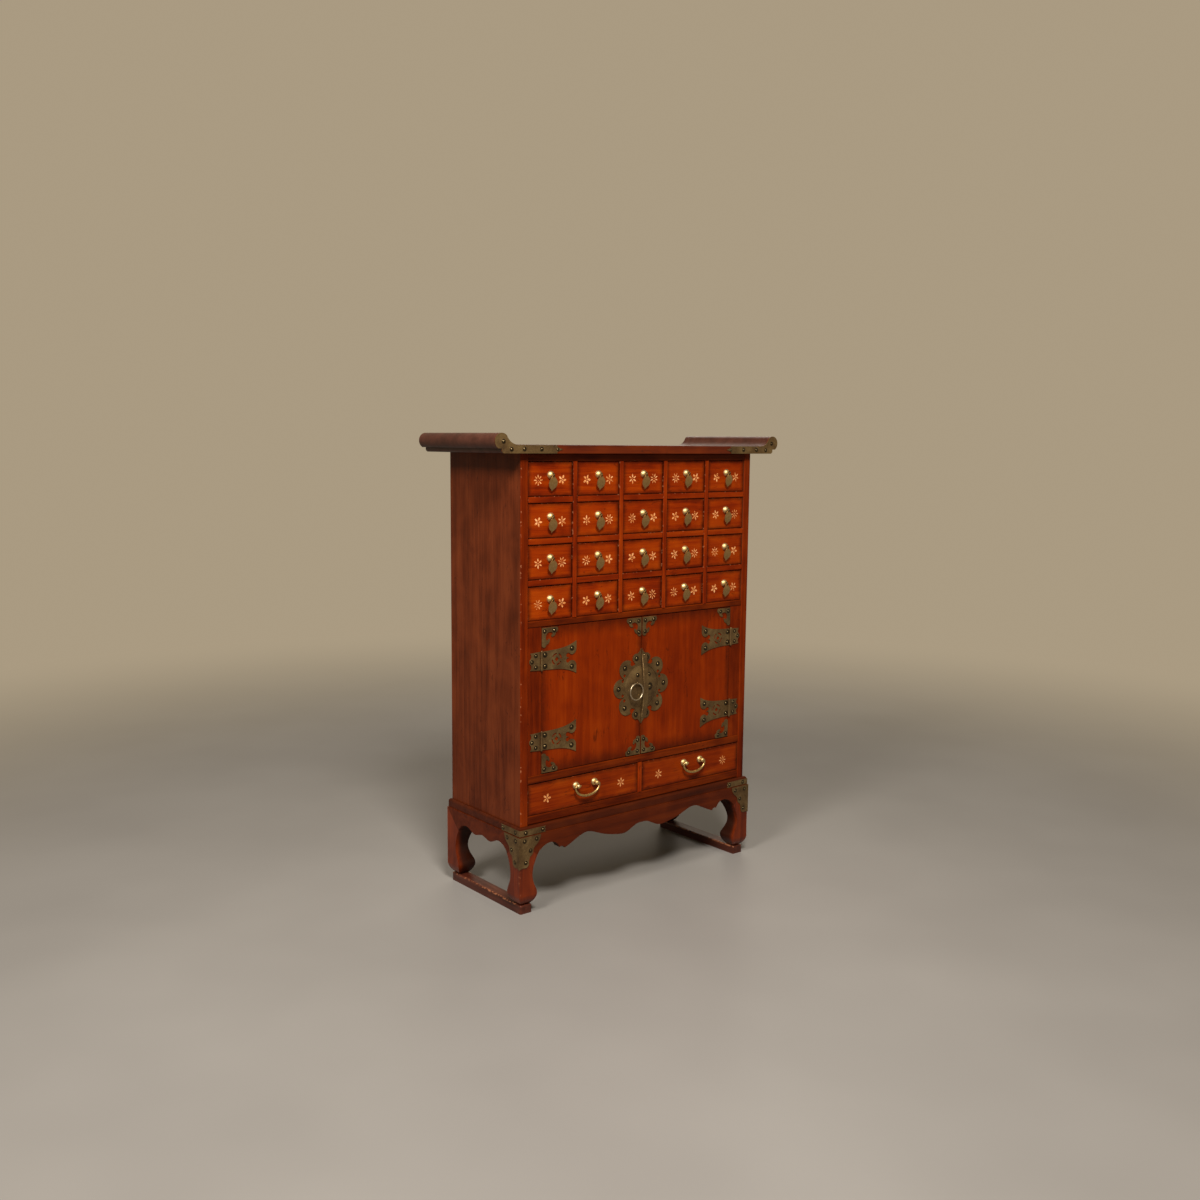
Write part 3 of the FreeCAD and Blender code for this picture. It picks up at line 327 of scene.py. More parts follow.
def stand_elm(name, stain, along, seed, gloss):
    """Board of the stand: chipped on its corners, with painted shade on its band and towards its inner
    faces.
    """
    material, shader, add, place = start_material(name)
    base, tone = elm(add, place, along, stain, seed)
    x, y, z = millimetres(add, place)
    # Painted shade over the band, as on a shaded moulding
    band = add("MapRange", {0: z, 1: LEG_TOP_Z, 2: LEG_TOP_Z + BAND_EDGE, 4: BAND_SHADE})
    base = add("Mix", {0: band, 6: base, 7: colour(STAND_SHADE)}, output=2, data_type="RGBA")
    # Painted shade that deepens away from the outer faces, into the shaded inside of the stand
    depths = []
    for value, middle, half in ((x, 0.0, STAND_HALF_W), (y, STAND_MID_Y, STAND_HALF_D)):
        off = apart(add, value, middle)
        depths.append(add("Math", {0: half, 1: off}, operation="SUBTRACT"))
    depth = add("Math", {0: depths[0], 1: depths[1]}, operation="MINIMUM")
    depth = uneven(add, place, depth, SHADE_WANDER)
    shaded = {0: depth, 1: SHADE_STARTS, 2: SHADE_FULL, 4: SHADE_SHARE}
    inside = add("MapRange", shaded, interpolation_type="SMOOTHSTEP")
    base = add("Mix", {0: inside, 6: base, 7: colour(STAND_SHADE)}, output=2, data_type="RGBA")
    from_corner = add("Math", {0: depths[0], 1: depths[1]}, operation="MAXIMUM")
    far, near = STAND_CHIPS
    corner = add("MapRange", {0: from_corner, 1: far, 2: near}, interpolation_type="SMOOTHSTEP")
    base = scuffs(add, place, base, corner)
    lacquered(add, shader, base, tone, gloss)
    return material


def runner_elm(name, seed):
    """Floor runner: worn through to pale wood in flecks along its upper arrises."""
    material, shader, add, place = start_material(name)
    base, tone = elm(add, place, "Y", RUNNER_STAIN, seed)
    x, _, z = millimetres(add, place)
    off = apart(add, add("Math", {0: x}, operation="ABSOLUTE"), RUNNER_MID_X)
    inward = add("Math", {0: RUNNER_HALF_W, 1: off}, operation="SUBTRACT")
    down = add("Math", {0: RUNNER_TOP_Z, 1: z}, operation="SUBTRACT")
    from_arris = add("Math", {0: inward, 1: down}, operation="MAXIMUM")
    far, near = STAND_CHIPS
    arris = add("MapRange", {0: from_arris, 1: far, 2: near}, interpolation_type="SMOOTHSTEP")
    base = scuffs(add, place, base, arris, MANY_SCUFFS)
    lacquered(add, shader, base, tone, POLISHED)
    return material


# Edge of the red stain on the front of a board: how it wanders, how soft it is, where it lies on the
# side panels, and how far from their front arris chips reach
EDGE_WANDER = 0.6
EDGE_SOFT = 1.0
CASE_EDGE = 1.2
CASE_CHIPS = (3.0, 1.0)


def fronted_elm(name, front, behind, along, limit_y, seed, gloss=SATIN):
    """Board stained red on its front edge, ahead of limit_y, and brown or left bare behind it."""
    material, shader, add, place = start_material(name)
    ahead, tone = elm(add, place, along, front, seed)
    back, _ = elm(add, place, along, behind, seed + SECOND_CUT)
    _, y, _ = millimetres(add, place)
    y = uneven(add, place, y, EDGE_WANDER)
    is_behind = add("MapRange", {0: y, 1: limit_y, 2: limit_y + EDGE_SOFT}, interpolation_type="SMOOTHSTEP")
    base = add("Mix", {0: is_behind, 6: ahead, 7: back}, output=2, data_type="RGBA")
    lacquered(add, shader, base, tone, gloss)
    return material


def case_elm(name, seed):
    """Side of the case: red on its front edge, brown behind it, chipped along the arris between them."""
    material, shader, add, place = start_material(name)
    front, tone = elm(add, place, "Z", FRAME_STAIN, seed)
    side, _ = elm(add, place, "Z", SIDE_STAIN, seed + SECOND_CUT)
    x, y, _ = millimetres(add, place)
    behind = add("Math", {0: y, 1: FRONT_Y}, operation="SUBTRACT")
    edge = {0: uneven(add, place, behind, EDGE_WANDER), 1: CASE_EDGE, 2: CASE_EDGE + EDGE_SOFT}
    is_behind = add("MapRange", edge, interpolation_type="SMOOTHSTEP")
    base = add("Mix", {0: is_behind, 6: front, 7: side}, output=2, data_type="RGBA")
    off = add("Math", {0: x}, operation="ABSOLUTE")
    inward = add("Math", {0: HALF_W, 1: off}, operation="SUBTRACT")
    from_arris = add("Math", {0: behind, 1: inward}, operation="MAXIMUM")
    far, near = CASE_CHIPS
    arris = add("MapRange", {0: from_arris, 1: far, 2: near}, interpolation_type="SMOOTHSTEP")
    base = scuffs(add, place, base, arris)
    lacquered(add, shader, base, tone)
    return material


# Drawers: the rubbed dark rim of a front and its chipped edge, as widths across and up, how they wander
# and how dark the rim is, how much of the front's thickness is stained, and where its brass starts
RUBBED_RIM = (12.0, 10.0)
RUBBED_WANDER = 4.0
RUBBED_SHARE = 0.85
CHIPPED_RIM = (1.2, 1.2)
CHIPPED_WANDER = 0.3
STAINED_T = 0.6 * FRONT_T
BRASS_AHEAD = 0.15


def drawer_elm(name, stain, face_y, half, cells, seed):
    """Drawer: stained front with rubbed dark edges, bare box behind it, cast brass ahead of it, and painted
    shade on the loops of the small drawers' pulls.
    Cells is the X and Z pitch of the bank, or None for the pair of lower drawers."""
    material, shader, add, place = start_material(name)
    x, y, z = millimetres(add, place)
    own = place
    if cells:
        steps = []
        distances = []
        for value, first, pitch in zip((x, z), FIRST, cells):
            off = add("Math", {0: value, 1: first}, operation="SUBTRACT")
            step = add("Math", {0: off, 1: pitch}, operation="DIVIDE")
            steps.append(add("Math", {0: step}, operation="ROUND"))
            distances.append(add("Math", {0: off, 1: pitch / 2}, operation="PINGPONG"))
        cell = add("CombineXYZ", {0: steps[0], 1: steps[1], 2: seed})
        offset = add("TexWhiteNoise", {"Vector": cell}, output="Color")
        own = add("VectorMath", {0: place, 1: offset}, operation="ADD")
        across, up = distances
    else:
        across = apart(add, add("Math", {0: x}, operation="ABSOLUTE"), LOWER[0])
        up = apart(add, z, LOWER[1])
    front, tone = elm(add, own, "X", stain, seed)
    rim = rim_of(add, own, across, up, half, RUBBED_RIM, RUBBED_WANDER)
    rim = add("Math", {0: rim, 1: RUBBED_SHARE}, operation="MULTIPLY")
    front = add("Mix", {0: rim, 6: front, 7: colour(OLD_EDGE_AND_SHADE)}, output=2, data_type="RGBA")
    edge = rim_of(add, own, across, up, half, CHIPPED_RIM, CHIPPED_WANDER)
    front = scuffs(add, own, front, edge)
    bare, _ = elm(add, place, "Y", BARE_WOOD, seed + BOX_CUT)
    is_box = add("Math", {0: y, 1: face_y + STAINED_T}, operation="GREATER_THAN")
    is_brass = add("Math", {0: y, 1: face_y - BRASS_AHEAD}, operation="LESS_THAN")
    base = add("Mix", {0: is_box, 6: front, 7: bare}, output=2, data_type="RGBA")
    metal, gleam = brass_skin(add, place, CAST_BRASS, CAST_GRAIN)
    if cells:
        # The loop ahead of the rosette is coloured dark: painted shade for the shaded eye of the pull
        is_loop = add("Math", {0: y, 1: face_y - ROSETTE_H}, operation="LESS_THAN")
        metal = add("Mix", {0: is_loop, 6: metal, 7: colour(LOOP_SHADE)}, output=2, data_type="RGBA")
    base = add("Mix", {0: is_brass, 6: base, 7: metal}, output=2, data_type="RGBA")
    rough, relief = lacquer_skin(add, tone)
    rough = add("Mix", {0: is_box, 2: rough, 3: BARE_ROUGH}, data_type="FLOAT")
    polish = add("MapRange", {0: gleam, 3: CAST_ROUGH[0], 4: CAST_ROUGH[1]})
    rough = add("Mix", {0: is_brass, 2: rough, 3: polish}, data_type="FLOAT")
    connect(shader, {"Base Color": base, "Roughness": rough, "Metallic": is_brass, "Normal": relief})
    connect(shader, {"Specular IOR Level": SATIN})
    return material


# Dividers: how far outside a drawer's front an upright starts, the arris along a drawer's opening, darkened
# with painted shade and chipped, from its far side to its near one, how it wanders and how dark the painted
# shade is, and how soft the edge of the stain is inside
UPRIGHT_OUT = 0.3
DIVIDER_ARRIS = (2.6, 0.4)
DIVIDER_WANDER = 0.8
DIVIDER_SHADE_SHARE = 0.8
INSIDE_SOFT = 2.0


def divider_elm(name, seed):
    """Grid of upright and level boards, with their own fibres, painted shade along the drawer openings and
    chipped arrises.
    """
    material, shader, add, place = start_material(name)
    x, y, z = millimetres(add, place)
    distances = []
    for value, first, pitch in zip((x, z), FIRST, (PITCH_X, PITCH_Z)):
        off = add("Math", {0: value, 1: first}, operation="SUBTRACT")
        distances.append(add("Math", {0: off, 1: pitch / 2}, operation="PINGPONG"))
    level, tone = elm(add, place, "X", DIVIDER_STAIN, seed)
    upright, _ = elm(add, place, "Z", DIVIDER_STAIN, seed + SECOND_CUT)
    is_bank = add("Math", {0: z, 1: DOOR_HIGH_Z}, operation="GREATER_THAN")
    is_upright = add("Math", {0: distances[0], 1: SMALL_HALF[0] + UPRIGHT_OUT}, operation="GREATER_THAN")
    is_upright = add("Mix", {0: is_bank, 2: 1.0, 3: is_upright}, data_type="FLOAT")
    base = add("Mix", {0: is_upright, 6: level, 7: upright}, output=2, data_type="RGBA")
    arrises = []
    far, near = DIVIDER_ARRIS
    for distance, half in zip(distances, SMALL_HALF):
        pushed = uneven(add, place, distance, DIVIDER_WANDER)
        outward = {0: pushed, 1: half + far, 2: half + near}
        arrises.append(add("MapRange", outward, interpolation_type="SMOOTHSTEP"))
    arris = add("Mix", {0: is_upright, 2: arrises[1], 3: arrises[0]}, data_type="FLOAT")
    arris = add("Math", {0: arris, 1: is_bank}, operation="MULTIPLY")
    # Painted shade along the edges of the drawer openings
    dark = add("Math", {0: arris, 1: DIVIDER_SHADE_SHARE}, operation="MULTIPLY")
    base = add("Mix", {0: dark, 6: base, 7: colour(OLD_EDGE_AND_SHADE)}, output=2, data_type="RGBA")
    base = scuffs(add, place, base, arris)
    bare, _ = elm(add, place, "Y", BARE_WOOD, seed + INNER_CUT)
    inner_y = FRONT_Y + FRONT_T
    is_inside = add("MapRange", {0: y, 1: inner_y, 2: inner_y + INSIDE_SOFT})
    base = add("Mix", {0: is_inside, 6: base, 7: bare}, output=2, data_type="RGBA")
    lacquered(add, shader, base, tone)
    return material


# Doors: the dark rim as widths across and up, how it wanders and how dark it is, and how deep the front's
# stain goes on a door's edges
DOOR_RIM = (20.0, 34.0)
DOOR_WANDER = 8.0
DOOR_SHARE = 0.7
DOOR_STAINED_T = 8.0


def door_elm(name, seed):
    """Door of upright fibres, darkened by hands and dirt round its rim, and brown at its back."""
    material, shader, add, place = start_material(name)
    x, y, z = millimetres(add, place)
    base, tone = elm(add, place, "Z", DOOR_STAIN, seed)
    across = apart(add, add("Math", {0: x}, operation="ABSOLUTE"), DOOR_MID_X)
    up = apart(add, z, DOOR_MID_Z)
    rim = rim_of(add, place, across, up, DOOR_HALF, DOOR_RIM, DOOR_WANDER)
    rim = add("Math", {0: rim, 1: DOOR_SHARE}, operation="MULTIPLY")
    base = add("Mix", {0: rim, 6: base, 7: colour(OLD_EDGE_AND_SHADE)}, output=2, data_type="RGBA")
    back, _ = elm(add, place, "Z", SIDE_STAIN, seed + BACK_CUT)
    is_back = add("Math", {0: y, 1: DOOR_Y + DOOR_STAINED_T}, operation="GREATER_THAN")
    base = add("Mix", {0: is_back, 6: base, 7: back}, output=2, data_type="RGBA")
    lacquered(add, shader, base, tone)
    return material


# Brass in three finishes. Sheet brass cut by hand has gone olive-brown in clouds and specks, and is dull.
# Cast brass is turned and polished by use, so it is pale gold and satin with a fine dimpled grain.
# The leaves are cut from sheet and rubbed by fingers: between the two. The ring is of bronze, paler where
# hands have worn it. Each finish has its roughness where it is darkest and where it is palest.
SHEET_BRASS = ((0.34, "#503D27"), (0.45, "#665033"), (0.55, "#765F3E"), (0.68, "#8E7850"))
CAST_BRASS = ((0.34, "#B4985E"), (0.5, "#CEB47E"), (0.66, "#E0CC9C"))
LEAF_BRASS = ((0.34, "#A48250"), (0.5, "#B09060"), (0.66, "#BC9E70"))
BAIL_BRASS = ((0.34, "#A08050"), (0.5, "#BEA068"), (0.66, "#D4BA88"))
RING_BRONZE = ((0.34, "#8E8068"), (0.5, "#B0A28A"), (0.66, "#CCC0AA"))
NAIL_BRASS = ((0.34, "#3E3220"), (0.66, "#7C6C4C"))
NAIL_STAIN = "#120D08"
# Dark colour of a pull's loop: painted shade for its shaded eye
LOOP_SHADE = "#4A3A26"
SHEET_ROUGH = (0.6, 0.42)
CAST_ROUGH = (0.56, 0.4)
LEAF_ROUGH = (0.44, 0.36)
BAIL_ROUGH = (0.42, 0.28)
RING_ROUGH = (0.4, 0.26)
NAIL_ROUGH = (0.36, 0.24)
CLEAN_METAL = 1.0
TARNISHED_METAL = 0.8
SHEET_CLOUD = 26.0
SHEET_SPECK = 2.4
CAST_GRAIN = 4.0
CLOUD_TONE = 0.7
SPECK_TONE = 0.3
TARNISH_TWIST = 0.3
BRASS_RELIEF = 0.2
BRASS_DEPTH = 0.2
STAIN_LAYER = "stain"


def brass_skin(add, place, tarnish, grain):
    """Colour and tone of brass that has tarnished in clouds and fine specks."""
    patterns = []
    for size, detail in ((grain, RAGGED), (SHEET_SPECK, CLOUDY)):
        at = add("VectorMath", {0: place, 1: even(size)}, operation="MULTIPLY")
        noise = {"Vector": at, "Scale": 1.0, "Detail": detail, "Distortion": TARNISH_TWIST}
        patterns.append(add("TexNoise", noise))
    tone = add("Math", {0: patterns[0], 1: CLOUD_TONE}, operation="MULTIPLY")
    tone = add("Math", {0: patterns[1], 1: SPECK_TONE, 2: tone}, operation="MULTIPLY_ADD")
    return add("ValToRGB", {"Fac": tone}, stops=tarnish), tone


def brass(name, tarnish, grain, rough, metallic=CLEAN_METAL):
    """Brass finish with its own tarnish, grain and roughness."""
    material, shader, add, place = start_material(name)
    base, tone = brass_skin(add, place, tarnish, grain)
    polish = add("MapRange", {0: tone, 1: DARK_TONE, 2: PALE_TONE, 3: rough[0], 4: rough[1]})
    relief = add("Bump", {"Height": tone, "Strength": BRASS_RELIEF, "Distance": BRASS_DEPTH * MM})
    connect(shader, {"Base Color": base, "Roughness": polish, "Normal": relief, "Metallic": metallic})
    return material


def nailed_brass(name):
    """Sheet brass round a nail, gone black where dirt and damp gather against the head."""
    material, shader, add, place = start_material(name)
    base, tone = brass_skin(add, place, SHEET_BRASS, SHEET_CLOUD)
    stain = add("Attribute", {}, output="Fac", attribute_name=STAIN_LAYER)
    base = add("Mix", {0: stain, 6: base, 7: colour(NAIL_STAIN)}, output=2, data_type="RGBA")
    dull, polished = SHEET_ROUGH
    rough = add("MapRange", {0: tone, 1: DARK_TONE, 2: PALE_TONE, 3: dull, 4: polished})
    connect(shader, {"Base Color": base, "Roughness": rough, "Metallic": TARNISHED_METAL})
    return material


# Paint of gold powder in size, laid with a small brush: matt, warm, and worn to the stain in places.
GILT = ((0.3, "#8E3C12"), (0.42, "#CC7E40"), (0.55, "#E6A266"), (0.7, "#F0BA86"))
GILT_WEAR = 4.0
GILT_ROUGH = 0.55
GILT_GLOSS = 0.2
GILT_RELIEF = 0.2
GILT_DEPTH = 0.1


def gilt_paint(name):
    """Gold paint that thins to the stain where it is worn."""
    material, shader, add, place = start_material(name)
    at = add("VectorMath", {0: place, 1: even(GILT_WEAR)}, operation="MULTIPLY")
    wear = add("TexNoise", {"Vector": at, "Scale": 1.0, "Detail": RAGGED})
    base = add("ValToRGB", {"Fac": wear}, stops=GILT)
    relief = add("Bump", {"Height": wear, "Strength": GILT_RELIEF, "Distance": GILT_DEPTH * MM})
    connect(shader, {"Base Color": base, "Normal": relief})
    connect(shader, {"Roughness": GILT_ROUGH, "Specular IOR Level": GILT_GLOSS})
    return material


small_drawer_finish = drawer_elm(
    "stained_elm_small_drawer", FRONT_STAIN, SMALL_FACE_Y, SMALL_HALF, (PITCH_X, PITCH_Z), 0.11)
lower_drawer_finish = drawer_elm(
    "stained_elm_lower_drawer", LOWER_STAIN, LOWER_FACE_Y, LOWER_HALF, None, 0.53)
sheet_brass = brass("tarnished_sheet_brass", SHEET_BRASS, SHEET_CLOUD, SHEET_ROUGH, TARNISHED_METAL)
leaf_brass = brass("rubbed_leaf_brass", LEAF_BRASS, CAST_GRAIN, LEAF_ROUGH)
bail_brass = brass("cast_bail_brass", BAIL_BRASS, CAST_GRAIN, BAIL_ROUGH)
ring_bronze = brass("worn_ring_bronze", RING_BRONZE, CAST_GRAIN, RING_ROUGH)
nail_brass = brass("domed_nail_brass", NAIL_BRASS, CAST_GRAIN, NAIL_ROUGH)
nail_plate = nailed_brass("stained_brass_round_nail")
gilt = gilt_paint("worn_gilt_paint")

# Where the red stain on the front of these boards ends
RAIL_STAINED_Y = FRONT_Y + 4.0
JAMB_STAINED_Y = FRONT_Y + 12.0
TOP_STAINED_Y = TOP_Y + 1.0

# Finish of each node; the last number of a board is its seed
finishes = {
    "side_panels": case_elm("stained_elm_side", 0.2),
    "back_panel": stained_elm("stained_elm_back", SIDE_STAIN, "Z", 0.7),
    "carcass_boards": fronted_elm("stained_elm_rail", RAIL_STAIN, BARE_WOOD, "X", RAIL_STAINED_Y, 0.9),
    "drawer_dividers": divider_elm("stained_elm_divider", 1.3),
    "door_jambs": fronted_elm("stained_elm_jamb", FRAME_STAIN, SIDE_STAIN, "Z", JAMB_STAINED_Y, 1.7),
    "scroll_top": fronted_elm(
        "stained_elm_top", TOP_EDGE_STAIN, TOP_STAIN, "X", TOP_STAINED_Y, 2.1, POLISHED),
    "stand_legs": stand_elm("stained_elm_leg", STAND_STAIN, "Z", 2.6, POLISHED),
    "stand_aprons": stand_elm("stained_elm_apron", APRON_STAIN, "X", 3.1, RUBBED),
    "floor_runners": runner_elm("stained_elm_runner", 3.7),
    "door_left": door_elm("stained_elm_left_door", 4.1),
    "door_right": door_elm("stained_elm_right_door", 4.9),
    "lower_drawer_left": lower_drawer_finish,
    "lower_drawer_right": lower_drawer_finish,
    "corner_mounts": sheet_brass,
    "hinge_frame_leaves": sheet_brass,
    "door_fittings_left": sheet_brass,
    "door_fittings_right": sheet_brass,
    "ring_pull": ring_bronze,
    "bail_handle_left": bail_brass,
    "bail_handle_right": bail_brass,
}
for row in range(1, ROWS + 1):
    for column in range(1, COLUMNS + 1):
        finishes[f"drawer_r{row}_c{column}"] = small_drawer_finish
        finishes[f"drop_pull_r{row}_c{column}"] = leaf_brass

for node_name, material in finishes.items():
    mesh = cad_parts[node_name].data
    mesh.materials.clear()
    mesh.materials.append(material)


# Pieces

MERGE = 0.001
TURN_FRONT = Matrix.Rotation(math.pi / 2, 4, "X")
TURN_LEFT = Matrix.Rotation(-math.pi / 2, 4, "Y")
TURN_RIGHT = Matrix.Rotation(math.pi / 2, 4, "Y")


def finished_piece(name, builder, body, materials):
    """Makes a mesh object at the origin, with its place in its mesh, that rides on a body."""
    bmesh.ops.remove_doubles(builder, verts=builder.verts, dist=MERGE * MM)
    bmesh.ops.recalc_face_normals(builder, faces=builder.faces)
    mesh = bpy.data.meshes.new(name)
    builder.to_mesh(mesh)
    builder.free()
    for material in materials:
        mesh.materials.append(material)
    made = bpy.data.objects.new(name, mesh)
    bpy.context.scene.collection.objects.link(made)
    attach(made, body)


# Domed nail on a thin skin of stained plate: radius, height and stain, from under its middle to its crown
NAIL_PROFILE = (
    (0, 0, 0), (6.6, 0, 0), (6.5, 0.05, 0), (5.0, 0.09, 0.8), (2.8, 0.14, 1),
    (2.45, 1.0, 1), (1.5, 1.7, 1), (0, 2.0, 1),
)
NAIL_SKIN_H = 0.2
NAIL_SIDES = 14


def nail_mesh():
    """One nail at the origin, in millimetres, facing +Z."""
    builder = bmesh.new()
    layer = builder.verts.layers.float.new(STAIN_LAYER)
    spots = []
    for radius, height, stain in NAIL_PROFILE:
        spots.append(builder.verts.new((radius, 0, height)))
        spots[-1][layer] = stain
    lines = [builder.edges.new(pair) for pair in zip(spots, spots[1:])]
    bmesh.ops.spin(
        builder, geom=spots + lines, cent=(0, 0, 0), axis=(0, 0, 1),
        angle=math.tau, steps=NAIL_SIDES, use_merge=True,
    )
    bmesh.ops.remove_doubles(builder, verts=builder.verts, dist=MERGE)
    bmesh.ops.recalc_face_normals(builder, faces=builder.faces)
    for face in builder.faces:
        face.material_index = int(max(vert.co.z for vert in face.verts) < NAIL_SKIN_H)
        face.smooth = True
    mesh = bpy.data.meshes.new("domed_nail")
    builder.to_mesh(mesh)
    builder.free()
    return mesh


NAIL = nail_mesh()


def nails(name, body, places):
    """Group of nails on one body; places holds (x, y, z, turn, size)."""
    builder = bmesh.new()
    for x, y, z, turn, size in places:
        one = NAIL.copy()
        one.transform(Matrix.Scale(MM, 4) @ Matrix.Translation((x, y, z)) @ turn @ Matrix.Scale(size, 4))
        builder.from_mesh(one)
        bpy.data.meshes.remove(one)
    finished_piece(name, builder, body, (nail_brass, nail_plate))


# Places of nails on the door plates: from the hinge's axis, from a bracket's corner, from the lock's middle
HINGE_INSET = 66.0
DOOR_LEAF_NAILS = ((9.0, 11.5), (75.5, 18.5))
FRAME_LEAF_NAILS = ((13.2, 11.5), (13.2, -11.5), (22.5, 0.0))
OUTER_BRACKET_NAILS = ((7.0, 8.0), (30.5, 7.5))
SEAM_BRACKET_NAILS = ((8.0, 8.0), (31.5, 7.5), (7.5, 31.5))
LOBE_NAIL_R = 62.0
LOBE_NAIL_ANGLES = (-43.0, 0.0, 43.0)
END_LOBE_NAIL = (14.0, 59.5)
STRIP_NAIL = (7.0, 65.0)
STRIP_END_T = 2.6
DOME_R = 47.0
DOME_H = 8.0
DOME_NAILS = {-1: (13.5, 25.0), 1: (19.0, 24.0)}
LATCH_STUD = (19.0, -2.0)
LATCH_STUD_SIZE = 1.5
WIDE_NAIL = 1.0
SMALL_NAIL = 0.8
STRIP_NAIL_SIZE = 0.6
HINGE_HEIGHTS = (DOOR_LOW_Z + HINGE_INSET, DOOR_HIGH_Z - HINGE_INSET)


def on_dome(x, up):
    """Place and turn of a nail on the lock plate's dome."""
    ball_r = (DOME_R ** 2 + DOME_H ** 2) / (2 * DOME_H)
    depth = math.sqrt(ball_r ** 2 - x ** 2 - up ** 2)
    outward = Vector((x, -depth, up))
    turn = outward.to_track_quat("Z", "Y").to_matrix().to_4x4()
    return (x, DOOR_Y - DOME_H + ball_r - depth, DOOR_MID_Z + up, turn)


def door_nails(side):
    """Nails on one door's hinge leaves, brackets and half of the lock plate."""
    face_y = DOOR_Y - PLATE_T
    wide = []
    for z in HINGE_HEIGHTS:
        for along, up in DOOR_LEAF_NAILS:
            wide += [(HINGE_X - along, z + up), (HINGE_X - along, z - up)]
    for angle in LOBE_NAIL_ANGLES:
        turn = math.radians(angle)
        wide.append((LOBE_NAIL_R * math.cos(turn), DOOR_MID_Z + LOBE_NAIL_R * math.sin(turn)))
    across, up = END_LOBE_NAIL
    wide += [(across, DOOR_MID_Z + up), (across, DOOR_MID_Z - up)]
    small = []
    for corner_z, into in ((DOOR_LOW_Z, 1), (DOOR_HIGH_Z, -1)):
        small += [(DOOR_OUTER_X - across, corner_z + into * up) for across, up in OUTER_BRACKET_NAILS]
        small += [(DOOR_SEAM_X + across, corner_z + into * up) for across, up in SEAM_BRACKET_NAILS]
    places = [(side * x, face_y, z, TURN_FRONT, WIDE_NAIL) for x, z in wide]
    places += [(side * x, face_y, z, TURN_FRONT, SMALL_NAIL) for x, z in small]
    across, up = DOME_NAILS[side]
    places.append((*on_dome(side * across, up), SMALL_NAIL))
    if side > 0:
        places.append((*on_dome(*LATCH_STUD), LATCH_STUD_SIZE))
        across, up = STRIP_NAIL
        for z in (DOOR_MID_Z - up, DOOR_MID_Z + up):
            places.append((across, DOOR_Y - STRIP_END_T, z, TURN_FRONT, STRIP_NAIL_SIZE))
    return places


# Places of nails on the stand's corners, from the corner and above the floor, and on the top's end plates
STRAP_NAILS = ((15.0, 168.0), (56.5, 168.0))
LEG_PLATE_NAILS = ((42.0, 152.5), (13.0, 152.0), (27.0, 131.0), (15.5, 108.0))
END_PLATE_T = 1.2
END_PLATE_NAILS = ((359.5, 932.0), (341.5, 917.5), (312.0, 918.2), (272.0, 918.2))
END_PLATE_TIP_NAIL = (233.5, 918.0)


def chest_nails():
    """Nails on the frame's hinge leaves, the stand's corner plates and the top's end plates."""
    places = []
    for z in HINGE_HEIGHTS:
        for along, up in FRAME_LEAF_NAILS:
            for side in (-1, 1):
                places.append((side * (HINGE_X + along), DOOR_Y - PLATE_T, z + up, TURN_FRONT, SMALL_NAIL))
    strap = (HALF_W + BAND_PROUD + PLATE_T, FRONT_Y - BAND_PROUD - PLATE_T, STRAP_NAILS)
    leg_plate = (STAND_HALF_W + PLATE_T, STAND_Y - PLATE_T, LEG_PLATE_NAILS)
    for corner_x, corner_y, spots in (strap, leg_plate):
        for along, z in spots:
            for side, turn in ((-1, TURN_LEFT), (1, TURN_RIGHT)):
                places.append((side * (corner_x - along), corner_y, z, TURN_FRONT, SMALL_NAIL))
                places.append((side * corner_x, corner_y + along, z, turn, SMALL_NAIL))
    for side in (-1, 1):
        for x, z in END_PLATE_NAILS:
            places.append((side * x, TOP_Y - END_PLATE_T, z, TURN_FRONT, SMALL_NAIL))
        x, z = END_PLATE_TIP_NAIL
        places.append((side * x, TOP_Y - END_PLATE_T, z, TURN_FRONT, STRIP_NAIL_SIZE))
    return places


nails("chest_nails", "chest", chest_nails())
nails("left_door_nails", "body_door_left", door_nails(-1))
nails("right_door_nails", "body_door_right", door_nails(1))


# Small painted flowers beside the pulls: number of petals, the radii where they start and end, their width
FLOWERS = ((5, 2.2, 9.8, 4.2), (6, 2.4, 10.0, 3.0), (8, 3.2, 10.4, 2.2))
PETAL_SIDES = 12
EYE_R = 1.3
PAINT_T = 0.12
PAINT_SUNK = 0.02
SMALL_MARK_X = 29.0
LOWER_MARK_X = 96.0
MARK_DROP = 2.0
MARK_TILT = 23.0


def petal(builder, near, far, width, turn):
    """Oval of paint between two radii of a flower, as a thin closed solid facing +Z."""
    rim = bmesh.ops.create_circle(builder, cap_ends=True, segments=PETAL_SIDES, radius=0.5)["verts"]
    bmesh.ops.scale(builder, verts=rim, vec=(far - near, width, 1))
    raised = bmesh.ops.extrude_face_region(builder, geom=[rim[0].link_faces[0]])["geom"]
    crown = [item for item in raised if isinstance(item, bmesh.types.BMVert)]
    bmesh.ops.translate(builder, verts=crown, vec=(0, 0, PAINT_T))
    bmesh.ops.translate(builder, verts=rim + crown, vec=((near + far) / 2, 0, 0))
    bmesh.ops.rotate(builder, verts=rim + crown, cent=(0, 0, 0), matrix=Matrix.Rotation(turn, 3, "Z"))
    return rim + crown


def flower(builder, kind, x, face_y, z, tilt):
    """One painted flower on a drawer's front."""
    petals, near, far, width = kind
    painted = petal(builder, -EYE_R, EYE_R, 2 * EYE_R, 0)
    for count in range(petals):
        painted += petal(builder, near, far, width, math.radians(tilt) + math.tau * count / petals)
    place = Matrix.Scale(MM, 4) @ Matrix.Translation((x, face_y + PAINT_SUNK, z)) @ TURN_FRONT
    bmesh.ops.transform(builder, verts=painted, matrix=place)


